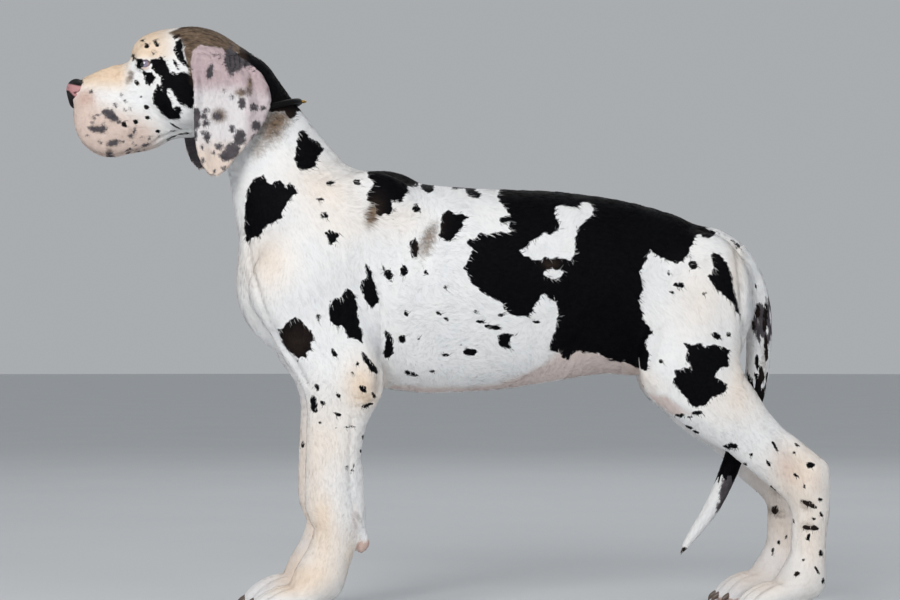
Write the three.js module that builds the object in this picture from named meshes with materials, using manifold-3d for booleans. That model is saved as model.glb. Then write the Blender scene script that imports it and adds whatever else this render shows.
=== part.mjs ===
// A Great Dane puppy of about thirteen weeks, standing still in a show stance, life size.
// Millimetres, +Z up, the head towards -X, the left side towards -Y, the origin on the floor under the middle.
// The flesh is one smooth field of named masses, meshed region by region and parted with thin cuts.
import * as THREE from "three";
import { mergeVertices } from "three/addons/utils/BufferGeometryUtils.js";
import Module from "manifold-3d";

const wasm = await Module();
wasm.setup();

// Driving sizes.
const WITHERS = 506; // height at the shoulders
const CHEST_HALF_WIDTH = 84;
const CHEST_FLOOR = 254; // lowest point of the brisket
const FORE_STANCE = 66; // half the distance between the forefeet
const HIND_STANCE = 62;
const EYE_RADIUS = 9.5;
const EAR_THICKNESS = 5;
const COLLAR_RADIUS = 3.6; // a round leather slip collar
const SEAM = 0.3; // gap between parts that touch

// Half sizes of a trunk section: where its middle is, how wide and how tall it is.
const section = (x, top, bottom, side) => [x, 0, (top + bottom) / 2, side, (top - bottom) / 2];

// Flesh masses. A tube is a row of stations [x, y, z, half width across the body, half depth]; a ball is an
// ellipsoid turned by pitch degrees about the Y axis. Blend is how far a mass melts into those before it.
const lerp = THREE.MathUtils.lerp;
const clamp = THREE.MathUtils.clamp;

function smoothStations(stations, steps) {
  const centres = new THREE.CatmullRomCurve3(stations.map((s) => new THREE.Vector3(s[0], s[1], s[2])));
  const sizes = new THREE.CatmullRomCurve3(stations.map((s) => new THREE.Vector3(s[3], s[4], 0)));
  const count = (stations.length - 1) * steps;
  return Array.from({ length: count + 1 }, (_, i) => {
    const c = centres.getPoint(i / count);
    const s = sizes.getPoint(i / count);
    return [c.x, c.y, c.z, s.x, s.y];
  });
}

function tube(blend, stations, { egg = 0, steps = 3 } = {}) {
  const rows = smoothStations(stations, steps);
  const reach = Math.max(...rows.map((r) => Math.max(r[3], r[4]))) + blend + 20;
  const box = new THREE.Box3().setFromPoints(rows.map((r) => new THREE.Vector3(r[0], r[1], r[2])));
  return {
    blend,
    box: box.expandByScalar(reach),
    distance(x, y, z) {
      let best = Infinity;
      for (let i = 0; i + 1 < rows.length; i++) {
        const a = rows[i];
        const b = rows[i + 1];
        const dx = b[0] - a[0];
        const dz = b[2] - a[2];
        const dy = b[1] - a[1];
        const span = dx * dx + dy * dy + dz * dz || 1;
        const t = clamp(((x - a[0]) * dx + (y - a[1]) * dy + (z - a[2]) * dz) / span, 0, 1);
        const qx = x - a[0] - t * dx;
        const qy = y - a[1] - t * dy;
        const qz = z - a[2] - t * dz;
        const tall = lerp(a[4], b[4], t);
        const across = Math.hypot(qx, qz) / tall;
        const side = lerp(a[3], b[3], t) * (1 + egg * clamp(qz / tall, -1, 1));
        const ratio = Math.hypot(qy / side, across);
        const far = Math.hypot(qx, qy, qz);
        best = Math.min(best, ratio > 1e-6 ? far * (1 - 1 / ratio) : -Math.min(side, tall));
      }
      return best;
    },
  };
}

function ball(blend, centre, radii, pitch = 0) {
  const [c, s] = [Math.cos((pitch * Math.PI) / 180), Math.sin((pitch * Math.PI) / 180)];
  const reach = Math.max(...radii) + blend + 20;
  const middle = new THREE.Vector3(...centre);
  return {
    blend,
    box: new THREE.Box3(middle.clone(), middle.clone()).expandByScalar(reach),
    distance(x, y, z) {
      const px = x - centre[0];
      const pz = z - centre[2];
      const qx = px * c + pz * s;
      const qz = pz * c - px * s;
      const qy = y - centre[1];
      const ratio = Math.hypot(qx / radii[0], qy / radii[1], qz / radii[2]);
      return ratio > 1e-6 ? Math.hypot(qx, qy, qz) * (1 - 1 / ratio) : -Math.min(...radii);
    },
  };
}

const carve = (mass) => ({ ...mass, hollow: true });
const bothSides = (make) => [make(-1), make(1)].flat();

function melt(a, b, k) {
  const h = Math.max(k - Math.abs(a - b), 0) / k;
  return Math.min(a, b) - (h * h * k) / 4;
}

const FAR_OUTSIDE = 60;
function fieldOf(masses) {
  return (x, y, z) => {
    let d = FAR_OUTSIDE;
    for (const m of masses) {
      const { min, max } = m.box;
      if (x < min.x || x > max.x || y < min.y || y > max.y || z < min.z || z > max.z) continue;
      const own = m.distance(x, y, z);
      d = m.hollow ? -melt(-d, own, m.blend) : melt(d, own, m.blend);
    }
    return d;
  };
}

// Trunk, from the forechest to the rump.
const trunk = [
  tube(20, [
    section(-156, WITHERS - 40, 290, 58),
    section(-100, WITHERS - 8, 264, 75),
    section(-20, WITHERS - 15, CHEST_FLOOR - 2, CHEST_HALF_WIDTH),
    section(60, WITHERS - 18, CHEST_FLOOR + 3, CHEST_HALF_WIDTH - 2),
    section(120, WITHERS - 20, CHEST_FLOOR + 13, CHEST_HALF_WIDTH - 9),
    section(175, WITHERS - 27, CHEST_FLOOR + 20, CHEST_HALF_WIDTH - 17),
    section(230, WITHERS - 40, CHEST_FLOOR + 18, CHEST_HALF_WIDTH - 23),
    section(280, WITHERS - 62, CHEST_FLOOR + 32, CHEST_HALF_WIDTH - 28),
    section(308, WITHERS - 80, CHEST_FLOOR + 92, CHEST_HALF_WIDTH - 42),
  ], { egg: 0.14 }),
  ball(22, [-172, 0, 374], [60, 50, 72], 20),
  ball(14, [-88, 0, WITHERS - 29], [50, 26, 30], 12),
];

// Neck, from the nape and throat down into the shoulders.
const neck = tube(24, [
  [-243, 0, 592, 43, 48],
  [-221, 0, 556, 45, 51],
  [-198, 0, 516, 49, 58],
  [-173, 0, 462, 58, 74],
  [-145, 0, 415, 66, 84],
], { egg: -0.05 });

// Shoulder blade, upper arm, forearm, wrist and pastern of one side.
function foreleg(s) {
  const y = s * FORE_STANCE;
  const elbow = [-116, y, 268];
  return [
    tube(26, [
      [-92, s * 40, 462, 26, 40],
      [-140, s * 52, 425, 27, 48],
      [-184, s * 58, 374, 28, 42],
    ]),
    tube(24, [
      [-184, s * 58, 366, 29, 42],
      [-150, s * 61, 316, 30, 50],
      [elbow[0] - 12, s * 63, elbow[2] + 8, 29, 42],
    ]),
    ball(14, [-110, s * 67, 266], [18, 19, 23]),
    tube(18, [
      [-128, y, 262, 29, 41],
      [-134, y, 230, 26, 35],
      [-138, y, 200, 24, 32],
      [-140, y, 165, 23, 31],
      [-140, y, 132, 24.5, 31],
      [-136, y, 104, 24, 25],
      [-142, y, 78, 23.5, 25.5],
      [-154, y, 52, 25, 26],
    ]),
    tube(9, [
      [-118, y - s * 2, 165, 12, 13],
      [-115, y - s * 2, 120, 13, 13],
      [-113, y - s * 2, 92, 10, 9.5],
    ]),
  ];
}

// Rump, thigh, second thigh, hock and rear pastern of one side. The right stifle is drawn back a little.
const STIFLE_BACK = { left: 0, right: 20 };
function hindleg(s) {
  const y = s * HIND_STANCE;
  const back = s < 0 ? STIFLE_BACK.left : STIFLE_BACK.right;
  return [
    ball(22, [283 + back * 0.3, s * 44, 345], [56, 36, 90], -10),
    ball(24, [268 + back * 0.8, s * 52, 298], [48, 33, 52], 24),
    ball(18, [312, s * 36, 346], [29, 25, 58], -4),
    tube(22, [
      [257 + back, y - s * 2, 277, 31, 46],
      [290 + back * 0.8, y, 250, 29, 45],
      [311 + back * 0.65, y, 231, 27, 41],
      [330 + back * 0.5, y, 214, 24.5, 34],
      [355 + back * 0.3, y, 190, 21.5, 31],
      [380 + back * 0.1, y, 168, 19.5, 30.5],
      [400 + back * 0.1, y, 149, 19, 27],
    ]),
    tube(12, [
      [380, y, 190, 10, 12],
      [415, y, 166, 12.5, 14.5],
    ]),
    tube(14, [
      [404 + back * 0.2, y, 148, 19.5, 24],
      [408 + back * 0.25, y, 122, 19, 22.5],
      [406 + back * 0.25, y, 92, 18.5, 20.5],
      [405 + back * 0.25, y, 62, 19, 21],
      [402 + back * 0.25, y, 40, 21, 23],
    ]),
  ];
}

// A paw points to -X. Its origin is on the floor under the large pad; scale sets its size.
const TOES = [
  { across: -23, reach: -9, claw: -3 },
  { across: -8.5, reach: 0, claw: 0 },
  { across: 8.5, reach: 0, claw: 0 },
  { across: 23, reach: -9, claw: 3 },
];

const pawPoint = (paw, forward, across, up) => [
  paw.x - forward * paw.scale,
  paw.y + across * paw.scale,
  up * paw.scale,
];

function pawFlesh(paw) {
  const k = paw.scale;
  const at = (forward, across, up) => pawPoint(paw, forward, across, up);
  const size = (...sizes) => sizes.map((v) => v * k);
  const toes = TOES.flatMap((toe) => [
    tube(4.5, [
      [...at(10 + toe.reach / 2, toe.across * 0.7, 28), ...size(12, 13)],
      [...at(34 + toe.reach, toe.across * 0.96, 27.5), ...size(11.6, 12.6)],
      [...at(53 + toe.reach, toe.across, 19), ...size(10.8, 11)],
      [...at(60 + toe.reach, toe.across, 11.5), ...size(10, 11)],
    ], { steps: 2 }),
    ball(3, at(51 + toe.reach, toe.across, 6), size(11.5, 8.5, 7.6)),
  ]);
  return [
    tube(14, [
      [...at(-10, 0, 46), ...size(25, 25)],
      [...at(8, 0, 31), ...size(29, 20)],
    ]),
    ...toes,
    ball(6, at(4, 0, 10), size(23, 24, 11.5)),
    ball(5, at(-5, -14, 9), size(12, 9, 10.5)),
    ball(5, at(-5, 14, 9), size(12, 9, 10.5)),
  ];
}

const FORE_PAWS = [-1, 1].map((s) => ({ x: -164, y: s * FORE_STANCE, scale: 1 }));
const HIND_PAWS = [-1, 1].map((s) => ({ x: 390 + 2 * s, y: s * HIND_STANCE, scale: 0.92 }));

// Head. The muzzle is deep and square, with loose upper lips that hang past the lower jaw.
const EYE = { x: -348, y: 31, z: 622 };
const head = [
  ball(20, [-292, 0, 622], [60, 47, 47], -6),
  ball(16, [-330, 0, 634], [33, 36, 26], -14),
  tube(14, [
    [-345, 0, 598, 31, 31],
    [-375, 0, 594, 28, 31],
    [-402, 0, 589, 26, 25],
    [-410, 0, 588, 23, 20],
  ]),
  ball(18, [-286, 0, 574], [50, 36, 29], 0),
  tube(10, [
    [-300, 0, 562, 26, 17],
    [-350, 0, 551, 23, 17],
    [-398, 0, 543, 17, 14],
  ]),
  ...bothSides((s) => [
    ball(16, [-304, s * 32, 594], [40, 20, 38], 10),
    ball(12, [-357, s * 16, 569], [44, 17.5, 42], 0),
    ball(9, [-385, s * 15, 556], [37, 16.5, 36], 12),
    ball(10, [-400, s * 13, 566], [27, 16, 34], 0),
    ball(9, [EYE.x + 6, s * 24, EYE.z + 11], [15, 12, 8], 10),
  ]),
  carve(tube(4, [
    [-436, 0, 572, 1.5, 2],
    [-431, 0, 556, 2, 4],
    [-424, 0, 530, 4, 5],
    [-400, 0, 512, 6, 7],
  ])),
];

const NOSE = { x: -424, z: 595 };
const nosePad = [
  ball(4, [NOSE.x, 0, NOSE.z], [11.5, 15, 13], 0),
  ball(4, [NOSE.x - 1, 0, NOSE.z - 10], [8, 8, 11], 0),
  ...bothSides((s) => [ball(4, [NOSE.x + 2, s * 11, NOSE.z - 2], [10, 8.5, 9.5], 0)]),
];

// Tail, from the croup down behind the thighs and forward between the hind legs: x, z and radius.
const TAIL = [
  [306, 424, 20],
  [332, 410, 19],
  [351, 385, 17.5],
  [362, 350, 16.2],
  [364, 312, 15.2],
  [361, 272, 14.2],
  [354, 238, 13.2],
  [343, 204, 12.2],
  [332, 172, 11.6],
  [319, 141, 10.6],
  [304, 113, 9.4],
  [288, 91, 7.4],
  [276, 74, 4.6],
  [271, 66, 1.6],
];

const flesh = [
  ...trunk,
  neck,
  ...bothSides(foreleg),
  ...bothSides(hindleg),
  ...FORE_PAWS.flatMap(pawFlesh),
  ...HIND_PAWS.flatMap(pawFlesh),
  ...head,
];
const bodyField = fieldOf(flesh);
const noseField = fieldOf(nosePad);

// Meshes the surface where the field is level. Each grid cell gets one vertex for each sheet that crosses it,
// and each crossed grid edge gets one four-sided face, so that the mesh is always a closed surface.
const CUBE_EDGES = [];
for (let a = 0; a < 8; a++)
  for (const bit of [1, 2, 4]) if (!(a & bit)) CUBE_EDGES.push([a, a | bit]);
const edgeBetween = (a, b) => CUBE_EDGES.findIndex(([p, q]) => (p === a && q === b) || (p === b && q === a));
const CUBE_FACES = [1, 2, 4].flatMap((fixed) => {
  const [u, v] = [1, 2, 4].filter((bit) => bit !== fixed);
  return [0, fixed].map((base) => {
    const corners = [base, base | u, base | u | v, base | v];
    return corners.map((corner, i) => ({
      corner,
      edges: [edgeBetween(corners[(i + 3) % 4], corner), edgeBetween(corner, corners[(i + 1) % 4])],
    }));
  });
});

// The four cells that share a grid edge along each axis: how far back each starts, and its own name for that edge.
const CELLS_ROUND_EDGE = [0, 1, 2].map((axis) =>
  [[0, 0], [1, 0], [1, 1], [0, 1]].map(([du, dv]) => {
    const back = [0, 0, 0];
    back[(axis + 1) % 3] = du;
    back[(axis + 2) % 3] = dv;
    const corner = back[0] | (back[1] << 1) | (back[2] << 2);
    return { back, edge: edgeBetween(corner, corner | (1 << axis)) };
  }),
);

// The crossed edges of a cell, grouped by the sheet that they lie on.
function sheetsOf(inside) {
  const sheet = CUBE_EDGES.map(([a, b], i) => (inside[a] === inside[b] ? -1 : i));
  const link = (a, b) => {
    const [from, to] = [sheet[a], sheet[b]];
    for (let i = 0; i < sheet.length; i++) if (sheet[i] === from) sheet[i] = to;
  };
  for (const face of CUBE_FACES) {
    const crossed = face.filter((f) => sheet[f.edges[1]] >= 0).map((f) => f.edges[1]);
    if (crossed.length === 2) link(...crossed);
    if (crossed.length === 4) for (const f of face) if (inside[f.corner]) link(...f.edges);
  }
  return sheet;
}

const RIM_OUTSIDE = 0.05; // the grid's own rim counts as just outside, which closes the mesh there
function meshField(field, [low, high], cell) {
  const n = [0, 1, 2].map((i) => Math.ceil((high[i] - low[i]) / cell[i]) + 1);
  const step = [1, n[0], n[0] * n[1]];
  const at = (i, j, k) => i + j * step[1] + k * step[2];
  const samples = new Float32Array(n[0] * n[1] * n[2]);
  for (let k = 0; k < n[2]; k++)
    for (let j = 0; j < n[1]; j++)
      for (let i = 0; i < n[0]; i++) {
        const rim = !i || !j || !k || i === n[0] - 1 || j === n[1] - 1 || k === n[2] - 1;
        const d = field(low[0] + i * cell[0], low[1] + j * cell[1], low[2] + k * cell[2]);
        samples[at(i, j, k)] = rim ? Math.max(d, RIM_OUTSIDE) : d;
      }
  const positions = [];
  const vertexOf = new Map();
  const corners = [0, 1, 2, 3, 4, 5, 6, 7].map((c) => at(c & 1, (c >> 1) & 1, c >> 2));
  for (let k = 0; k + 1 < n[2]; k++)
    for (let j = 0; j + 1 < n[1]; j++)
      for (let i = 0; i + 1 < n[0]; i++) {
        const here = at(i, j, k);
        const d = corners.map((c) => samples[here + c]);
        const inside = d.map((value) => value < 0);
        if (inside.every(Boolean) || !inside.some(Boolean)) continue;
        const sheet = sheetsOf(inside);
        for (const id of new Set(sheet.filter((value) => value >= 0))) {
          const sum = [0, 0, 0];
          let crossings = 0;
          CUBE_EDGES.forEach(([a, b], e) => {
            if (sheet[e] !== id) return;
            const t = d[a] / (d[a] - d[b]);
            for (let axis = 0; axis < 3; axis++) sum[axis] += lerp((a >> axis) & 1, (b >> axis) & 1, t);
            crossings++;
            vertexOf.set(here * 12 + e, positions.length / 3);
          });
          [i, j, k].forEach((q, axis) => positions.push(low[axis] + (q + sum[axis] / crossings) * cell[axis]));
        }
      }
  const quads = [];
  for (let k = 0; k + 1 < n[2]; k++)
    for (let j = 0; j + 1 < n[1]; j++)
      for (let i = 0; i + 1 < n[0]; i++)
        for (let axis = 0; axis < 3; axis++) {
          const start = at(i, j, k);
          if ([i, j, k].some((q, other) => other !== axis && !q)) continue;
          if (samples[start] < 0 === samples[start + step[axis]] < 0) continue;
          const ring = CELLS_ROUND_EDGE[axis].map(({ back, edge }) => {
            const cellOrigin = start - back[0] * step[0] - back[1] * step[1] - back[2] * step[2];
            return vertexOf.get(cellOrigin * 12 + edge);
          });
          if (samples[start] >= 0) ring.reverse();
          quads.push(ring);
        }
  for (const share of RELAX_SHARES) {
    relax(positions, quads, share);
    settle(positions, field, 0.5 * Math.min(...cell));
  }
  return { positions, faces: quads.flatMap((ring) => splitQuad(positions, ring)) };
}

// Evens out the spacing of the vertices, so that no sliver is left where the surface just enters a cell.
const RELAX_SHARES = [0.6, 0.45];
function relax(positions, quads, share) {
  const sum = new Float64Array(positions.length);
  const count = new Float64Array(positions.length / 3);
  for (const ring of quads)
    ring.forEach((v, i) => {
      const w = ring[(i + 1) % 4];
      for (let axis = 0; axis < 3; axis++) sum[v * 3 + axis] += positions[w * 3 + axis];
      count[v]++;
    });
  count.forEach((n, v) => {
    for (let axis = 0; axis < 3; axis++) {
      const i = v * 3 + axis;
      positions[i] = lerp(positions[i], sum[i] / n, share);
    }
  });
}

// Two triangles for a four-sided face, split along its shorter diagonal.
function splitQuad(positions, [a, b, c, d]) {
  const across = (p, q) => [0, 1, 2].reduce((sum, i) => sum + (positions[p * 3 + i] - positions[q * 3 + i]) ** 2, 0);
  return across(a, c) <= across(b, d) ? [a, b, c, a, c, d] : [b, c, d, b, d, a];
}

// Moves each vertex onto the surface, so that a coarse mesh keeps the true outline.
function settle(positions, field, limit) {
  const h = 0.5;
  for (let i = 0; i < positions.length; i += 3) {
    const [x, y, z] = positions.slice(i, i + 3);
    const d = field(x, y, z);
    const slope = [
      (field(x + h, y, z) - field(x - h, y, z)) / (2 * h),
      (field(x, y + h, z) - field(x, y - h, z)) / (2 * h),
      (field(x, y, z + h) - field(x, y, z - h)) / (2 * h),
    ];
    const steep = Math.max(0.25, slope[0] ** 2 + slope[1] ** 2 + slope[2] ** 2);
    const move = clamp(d / steep, -limit, limit);
    for (let axis = 0; axis < 3; axis++) positions[i + axis] -= move * slope[axis];
  }
}

// Solids.
const solid = (positions, faces) =>
  new wasm.Manifold(
    new wasm.Mesh({
      numProp: 3,
      vertProperties: new Float32Array(positions),
      triVerts: new Uint32Array(faces),
    }),
  );

const bodyOf = (mesh) => solid(mesh.positions, mesh.faces);

// The same mesh with each vertex moved out, for cutting a neighbour so that a seam stays open.
function grown(mesh, by = 1.5 * SEAM) {
  const shape = new THREE.BufferGeometry()
    .setAttribute("position", new THREE.Float32BufferAttribute(mesh.positions, 3))
    .setIndex(mesh.faces);
  shape.computeVertexNormals();
  const normals = shape.attributes.normal.array;
  return solid(mesh.positions.map((v, i) => v + by * normals[i]), mesh.faces);
}

function solidFrom(geometry) {
  const bare = geometry.index ? geometry.toNonIndexed() : geometry.clone();
  bare.deleteAttribute("normal");
  bare.deleteAttribute("uv");
  const merged = mergeVertices(bare, 1e-3);
  return solid(merged.attributes.position.array, merged.index.array);
}

function largest(shape) {
  return shape.decompose().reduce((a, b) => (b.volume() > a.volume() ? b : a));
}

function geometryFrom(shape) {
  const made = shape.getMesh();
  return new THREE.BufferGeometry()
    .setAttribute("position", new THREE.BufferAttribute(new Float32Array(made.vertProperties), 3))
    .setIndex(new THREE.BufferAttribute(new Uint32Array(made.triVerts), 1))
    .toNonIndexed();
}

const coats = {
  white: new THREE.MeshStandardMaterial({ color: 0xe9e6e1, roughness: 0.8, metalness: 0 }),
  skin: new THREE.MeshStandardMaterial({ color: 0xd8b3a6, roughness: 0.55, metalness: 0 }),
  eye: new THREE.MeshStandardMaterial({ color: 0x2b2220, roughness: 0.1, metalness: 0 }),
  leather: new THREE.MeshStandardMaterial({ color: 0x121212, roughness: 0.45, metalness: 0 }),
  brass: new THREE.MeshStandardMaterial({ color: 0xb58d3c, roughness: 0.3, metalness: 1 }),
};

const dog = new THREE.Group();
function add(name, shape, material) {
  const geometry = geometryFrom(largest(shape));
  geometry.computeVertexNormals();
  const mesh = new THREE.Mesh(geometry, material);
  mesh.name = name;
  dog.add(mesh);
}

// A cut keeps what lies on the far side of a plane, less half a seam.
function keep(shape, normal, through) {
  const n = new THREE.Vector3(...normal).normalize();
  const offset = n.dot(new THREE.Vector3(...through)) + SEAM / 2;
  return shape.trimByPlane([n.x, n.y, n.z], offset);
}
const flipped = (v) => v.map((c) => -c);

// Cuts between the named parts, each a point and the way towards its later part.
const CUT = {
  headNeck: { through: [-252, 0, 590], normal: [0.86, 0, -0.5] },
  neckTrunk: { through: [-172, 0, 478], normal: [0.62, 0, -0.78] },
  brisket: { through: [0, 0, CHEST_FLOOR - 7], normal: [0, 0, -1] },
  wrist: { through: [-140, 0, 84], normal: [-0.3, 0, -1] },
  thighTop: { through: [222, 0, 272], normal: [0.78, 0, -0.62] },
  stifle: { through: [300, 0, 240], normal: [0.74, 0, -0.67] },
  hock: { through: [406, 0, 118], normal: [0, 0, -1] },
  tailHalf: { through: [363, 0, 300], normal: [-0.05, 0, -1] },
};
const after = (shape, cut) => keep(shape, cut.normal, cut.through);
const before = (shape, cut) => keep(shape, flipped(cut.normal), cut.through);
const onSide = (shape, s) => keep(shape, [0, s, 0], [0, 0, 0]);
const onFloor = (shape) => shape.trimByPlane([0, 0, 1], 0);

// Grid cells of each region, along X, Y and Z. Long cells run along the limbs.
const CELL = {
  head: [11.3, 10, 10],
  neck: [17, 16, 18],
  trunk: [26, 21, 20],
  arm: [11, 11, 24],
  forepaw: [12.4, 9, 10.2],
  thigh: [18, 16, 18],
  shank: [14, 12, 14],
  hindpaw: [12.6, 8.8, 10.8],
  nose: [5.8, 5.6, 5.6],
};
const FLESH_REGION = {
  head: [[-452, -66, 500], [-212, 66, 690]],
  neck: [[-320, -100, 380], [-80, 100, 690]],
  trunk: [[-290, -119, 200], [385, 119, 560]],
};

const bodyMesh = (region, cell) => meshField(bodyField, region, cell);
const boxRound = (x, y, z, half) => [
  [x - half[0], y - half[1], z - half[2]],
  [x + half[0], y + half[1], z + half[2]],
];

// Rings of points, each joined to the next, with a fan over each end, or closed on itself.
// A leaf is split into triangles alike on both of its faces.
function loft(rings, { closed = false, leaf = false } = {}) {
  const sides = rings[0].length;
  const positions = rings.flat(2);
  const faces = [];
  const spans = closed ? rings.length : rings.length - 1;
  for (let r = 0; r < spans; r++)
    for (let i = 0; i < sides; i++) {
      const [a, b] = [r * sides + i, r * sides + ((i + 1) % sides)];
      const next = ((r + 1) % rings.length) * sides;
      const [c, d] = [next + ((i + 1) % sides), next + i];
      if (leaf && i >= sides / 2) faces.push(a, b, d, b, c, d);
      else faces.push(a, b, c, a, c, d);
    }
  if (!closed)
    for (let i = 1; i + 1 < sides; i++) {
      const last = (rings.length - 1) * sides;
      faces.push(0, i + 1, i, last, last + i, last + i + 1);
    }
  const made = solid(positions, faces);
  return made.volume() < 0 ? solid(positions, faces.reverse()) : made;
}

// A round bar along points, each with its own radius. It never runs along acrossFrom.
function bar(points, radii, sides, { closed = false, acrossFrom = [0, 1, 0] } = {}) {
  const path = new THREE.CatmullRomCurve3(points.map((p) => new THREE.Vector3(...p)), closed);
  const count = radii.length;
  const rings = radii.map((radius, i) => {
    const t = i / (closed ? count : count - 1);
    const [centre, along] = [path.getPoint(t), path.getTangent(t)];
    const side = new THREE.Vector3(...acrossFrom).cross(along).normalize();
    const up = along.clone().cross(side);
    return Array.from({ length: sides }, (_, k) => {
      const a = (2 * Math.PI * k) / sides;
      const out = side.clone().multiplyScalar(Math.cos(a)).addScaledVector(up, Math.sin(a));
      return centre.clone().addScaledVector(out, radius).toArray();
    });
  });
  return loft(rings, { closed });
}

// Radii read evenly off a row of them.
const radiiAlong = (radii, count) =>
  Array.from({ length: count }, (_, i) => {
    const at = (i / (count - 1)) * (radii.length - 1);
    const low = Math.min(Math.floor(at), radii.length - 2);
    return lerp(radii[low], radii[low + 1], at - low);
  });

// Where the body's side is, going in from outside at this x and z.
const OUT_HERE = 130;
function sideOfBody(x, z) {
  let y = OUT_HERE;
  for (let i = 0; i < 60; i++) {
    const d = bodyField(x, y, z);
    if (d < 0.2 || y < 1) break;
    y -= Math.max(0.4, d * 0.6);
  }
  return Math.max(y, 0);
}

// Head with sockets for the eyes, nostrils and the line of the mouth.
const eyeCentre = (s) => [EYE.x + 1.5, s * (EYE.y - 4), EYE.z - 0.5];
const eyeBall = (s, radius) =>
  solidFrom(new THREE.SphereGeometry(radius, 10, 7)).translate(eyeCentre(s));
const NOSE_REGION = [[-444, -27, 566], [-402, 27, 617]];
const noseMesh = meshField(noseField, NOSE_REGION, CELL.nose);
const LIP_LINE = [
  [-421, 548],
  [-413, 539],
  [-402, 531],
  [-388, 526],
  [-372, 525],
  [-356, 528],
  [-343, 535],
  [-332, 544],
];
const lipGroove = (s) => bar(LIP_LINE.map(([x, z]) => [x, s * sideOfBody(x, z), z]), new Array(12).fill(2.4), 6);

// The rims of the lids, as points round the eye from its front corner to its rear corner.
const LIDS = [
  [
    [-11.5, -6.5, -1.5],
    [-6, 0.5, 5.5],
    [1, 4, 6.5],
    [7.5, 4, 3],
    [11.5, 2, -2.5],
  ],
  [
    [-11.5, -6.5, -1.5],
    [-6, 0, -6],
    [1, 3.5, -8.5],
    [7.5, 3.5, -7],
    [11.5, 2, -2.5],
  ],
];
const lid = (s, rim) =>
  bar(rim.map(([x, y, z]) => [EYE.x + x, s * (EYE.y + y), EYE.z + z]), [2, 3.4, 4, 4, 4, 3.4, 2], 6);

function nostril(s) {
  const cone = new THREE.CylinderGeometry(3.6, 2.2, 12, 10).rotateZ(Math.PI / 2).rotateY(0.35 * s);
  return solidFrom(cone.translate(NOSE.x - 8, s * 7.5, NOSE.z - 1));
}

const headMesh = bodyMesh(FLESH_REGION.head, CELL.head);
let skull = before(bodyOf(headMesh), CUT.headNeck).subtract(grown(noseMesh));
for (const s of [-1, 1]) {
  for (const rim of LIDS) skull = skull.add(lid(s, rim));
  skull = skull.subtract(eyeBall(s, EYE_RADIUS + SEAM)).subtract(lipGroove(s));
}
add("head", skull, coats.white);
add("nose", bodyOf(noseMesh).subtract(nostril(-1)).subtract(nostril(1)), coats.skin);

const neckMesh = bodyMesh(FLESH_REGION.neck, CELL.neck);
add("neck", before(after(bodyOf(neckMesh), CUT.headNeck), CUT.neckTrunk), coats.white);

// Shoulder outline as seen from the side, from the back of the elbow round the top of the blade.
const SHOULDER_OUTLINE = [
  [-86, 240],
  [-84, 300],
  [-74, 370],
  [-78, 436],
  [-112, 456],
  [-150, 430],
  [-192, 404],
  [-230, 372],
  [-222, 300],
  [-196, 240],
];
const SHOULDER_DEPTH = 30; // how far from the middle plane the shoulders are parted from the chest
function shoulderBlock(s, grow) {
  const outline = new THREE.Shape();
  outline.moveTo(SHOULDER_OUTLINE[0][0] + grow, SHOULDER_OUTLINE[0][1] - grow);
  const middle = new THREE.Vector2(-150, 340);
  const grown = SHOULDER_OUTLINE.map(([x, z]) => {
    const p = new THREE.Vector2(x, z);
    return p.addScaledVector(p.clone().sub(middle).normalize(), grow);
  });
  outline.setFromPoints([grown[0], ...new THREE.SplineCurve(grown.slice(1, -1)).getPoints(14), grown.at(-1)]);
  const block = new THREE.ExtrudeGeometry(outline, { depth: 90, bevelEnabled: false, steps: 1 });
  block.rotateX(Math.PI / 2);
  block.translate(0, s < 0 ? -(SHOULDER_DEPTH - grow) : SHOULDER_DEPTH - grow + 90, 0);
  return solidFrom(block);
}

const trunkMesh = bodyMesh(FLESH_REGION.trunk, CELL.trunk);
let torso = before(before(after(bodyOf(trunkMesh), CUT.neckTrunk), CUT.brisket), CUT.thighTop);
const SIDES = [["left", -1], ["right", 1]];
for (const [side, s] of SIDES) {
  add(`shoulder_${side}`, torso.intersect(shoulderBlock(s, 0)), coats.white);
  torso = torso.subtract(shoulderBlock(s, SEAM));
}
add("torso", torso, coats.white);

// Legs and paws. The carpal pad hangs behind the wrist.
const CARPAL_PAD = { x: -107, z: 87, radius: 8.5 };
const carpalPad = (s) => {
  const { x, z, radius } = CARPAL_PAD;
  const path = [[-12, 34], [-3, 14], [0, 0], [-2, -8]].map(([dx, dz]) => [x + dx, s * FORE_STANCE, z + dz]);
  return bar(path, [0.7, 0.9, 1, 0.9, 0.5].map((share) => share * radius), 6);
};
function claw(paw, toe) {
  const k = paw.scale;
  const at = (forward, across, up) => pawPoint(paw, forward, across, up);
  return bar([
    at(58 + toe.reach, toe.across, 13),
    at(68 + toe.reach, toe.across + toe.claw * 0.3, 12.5),
    at(75 + toe.reach, toe.across + toe.claw * 0.6, 8),
    at(78 + toe.reach, toe.across + toe.claw, 3.5),
  ], [5 * k, 4.6 * k, 3.4 * k, 0.8 * k], 6);
}
const withClaws = (foot, paw) => TOES.reduce((shape, toe) => shape.add(claw(paw, toe)), foot);

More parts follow.
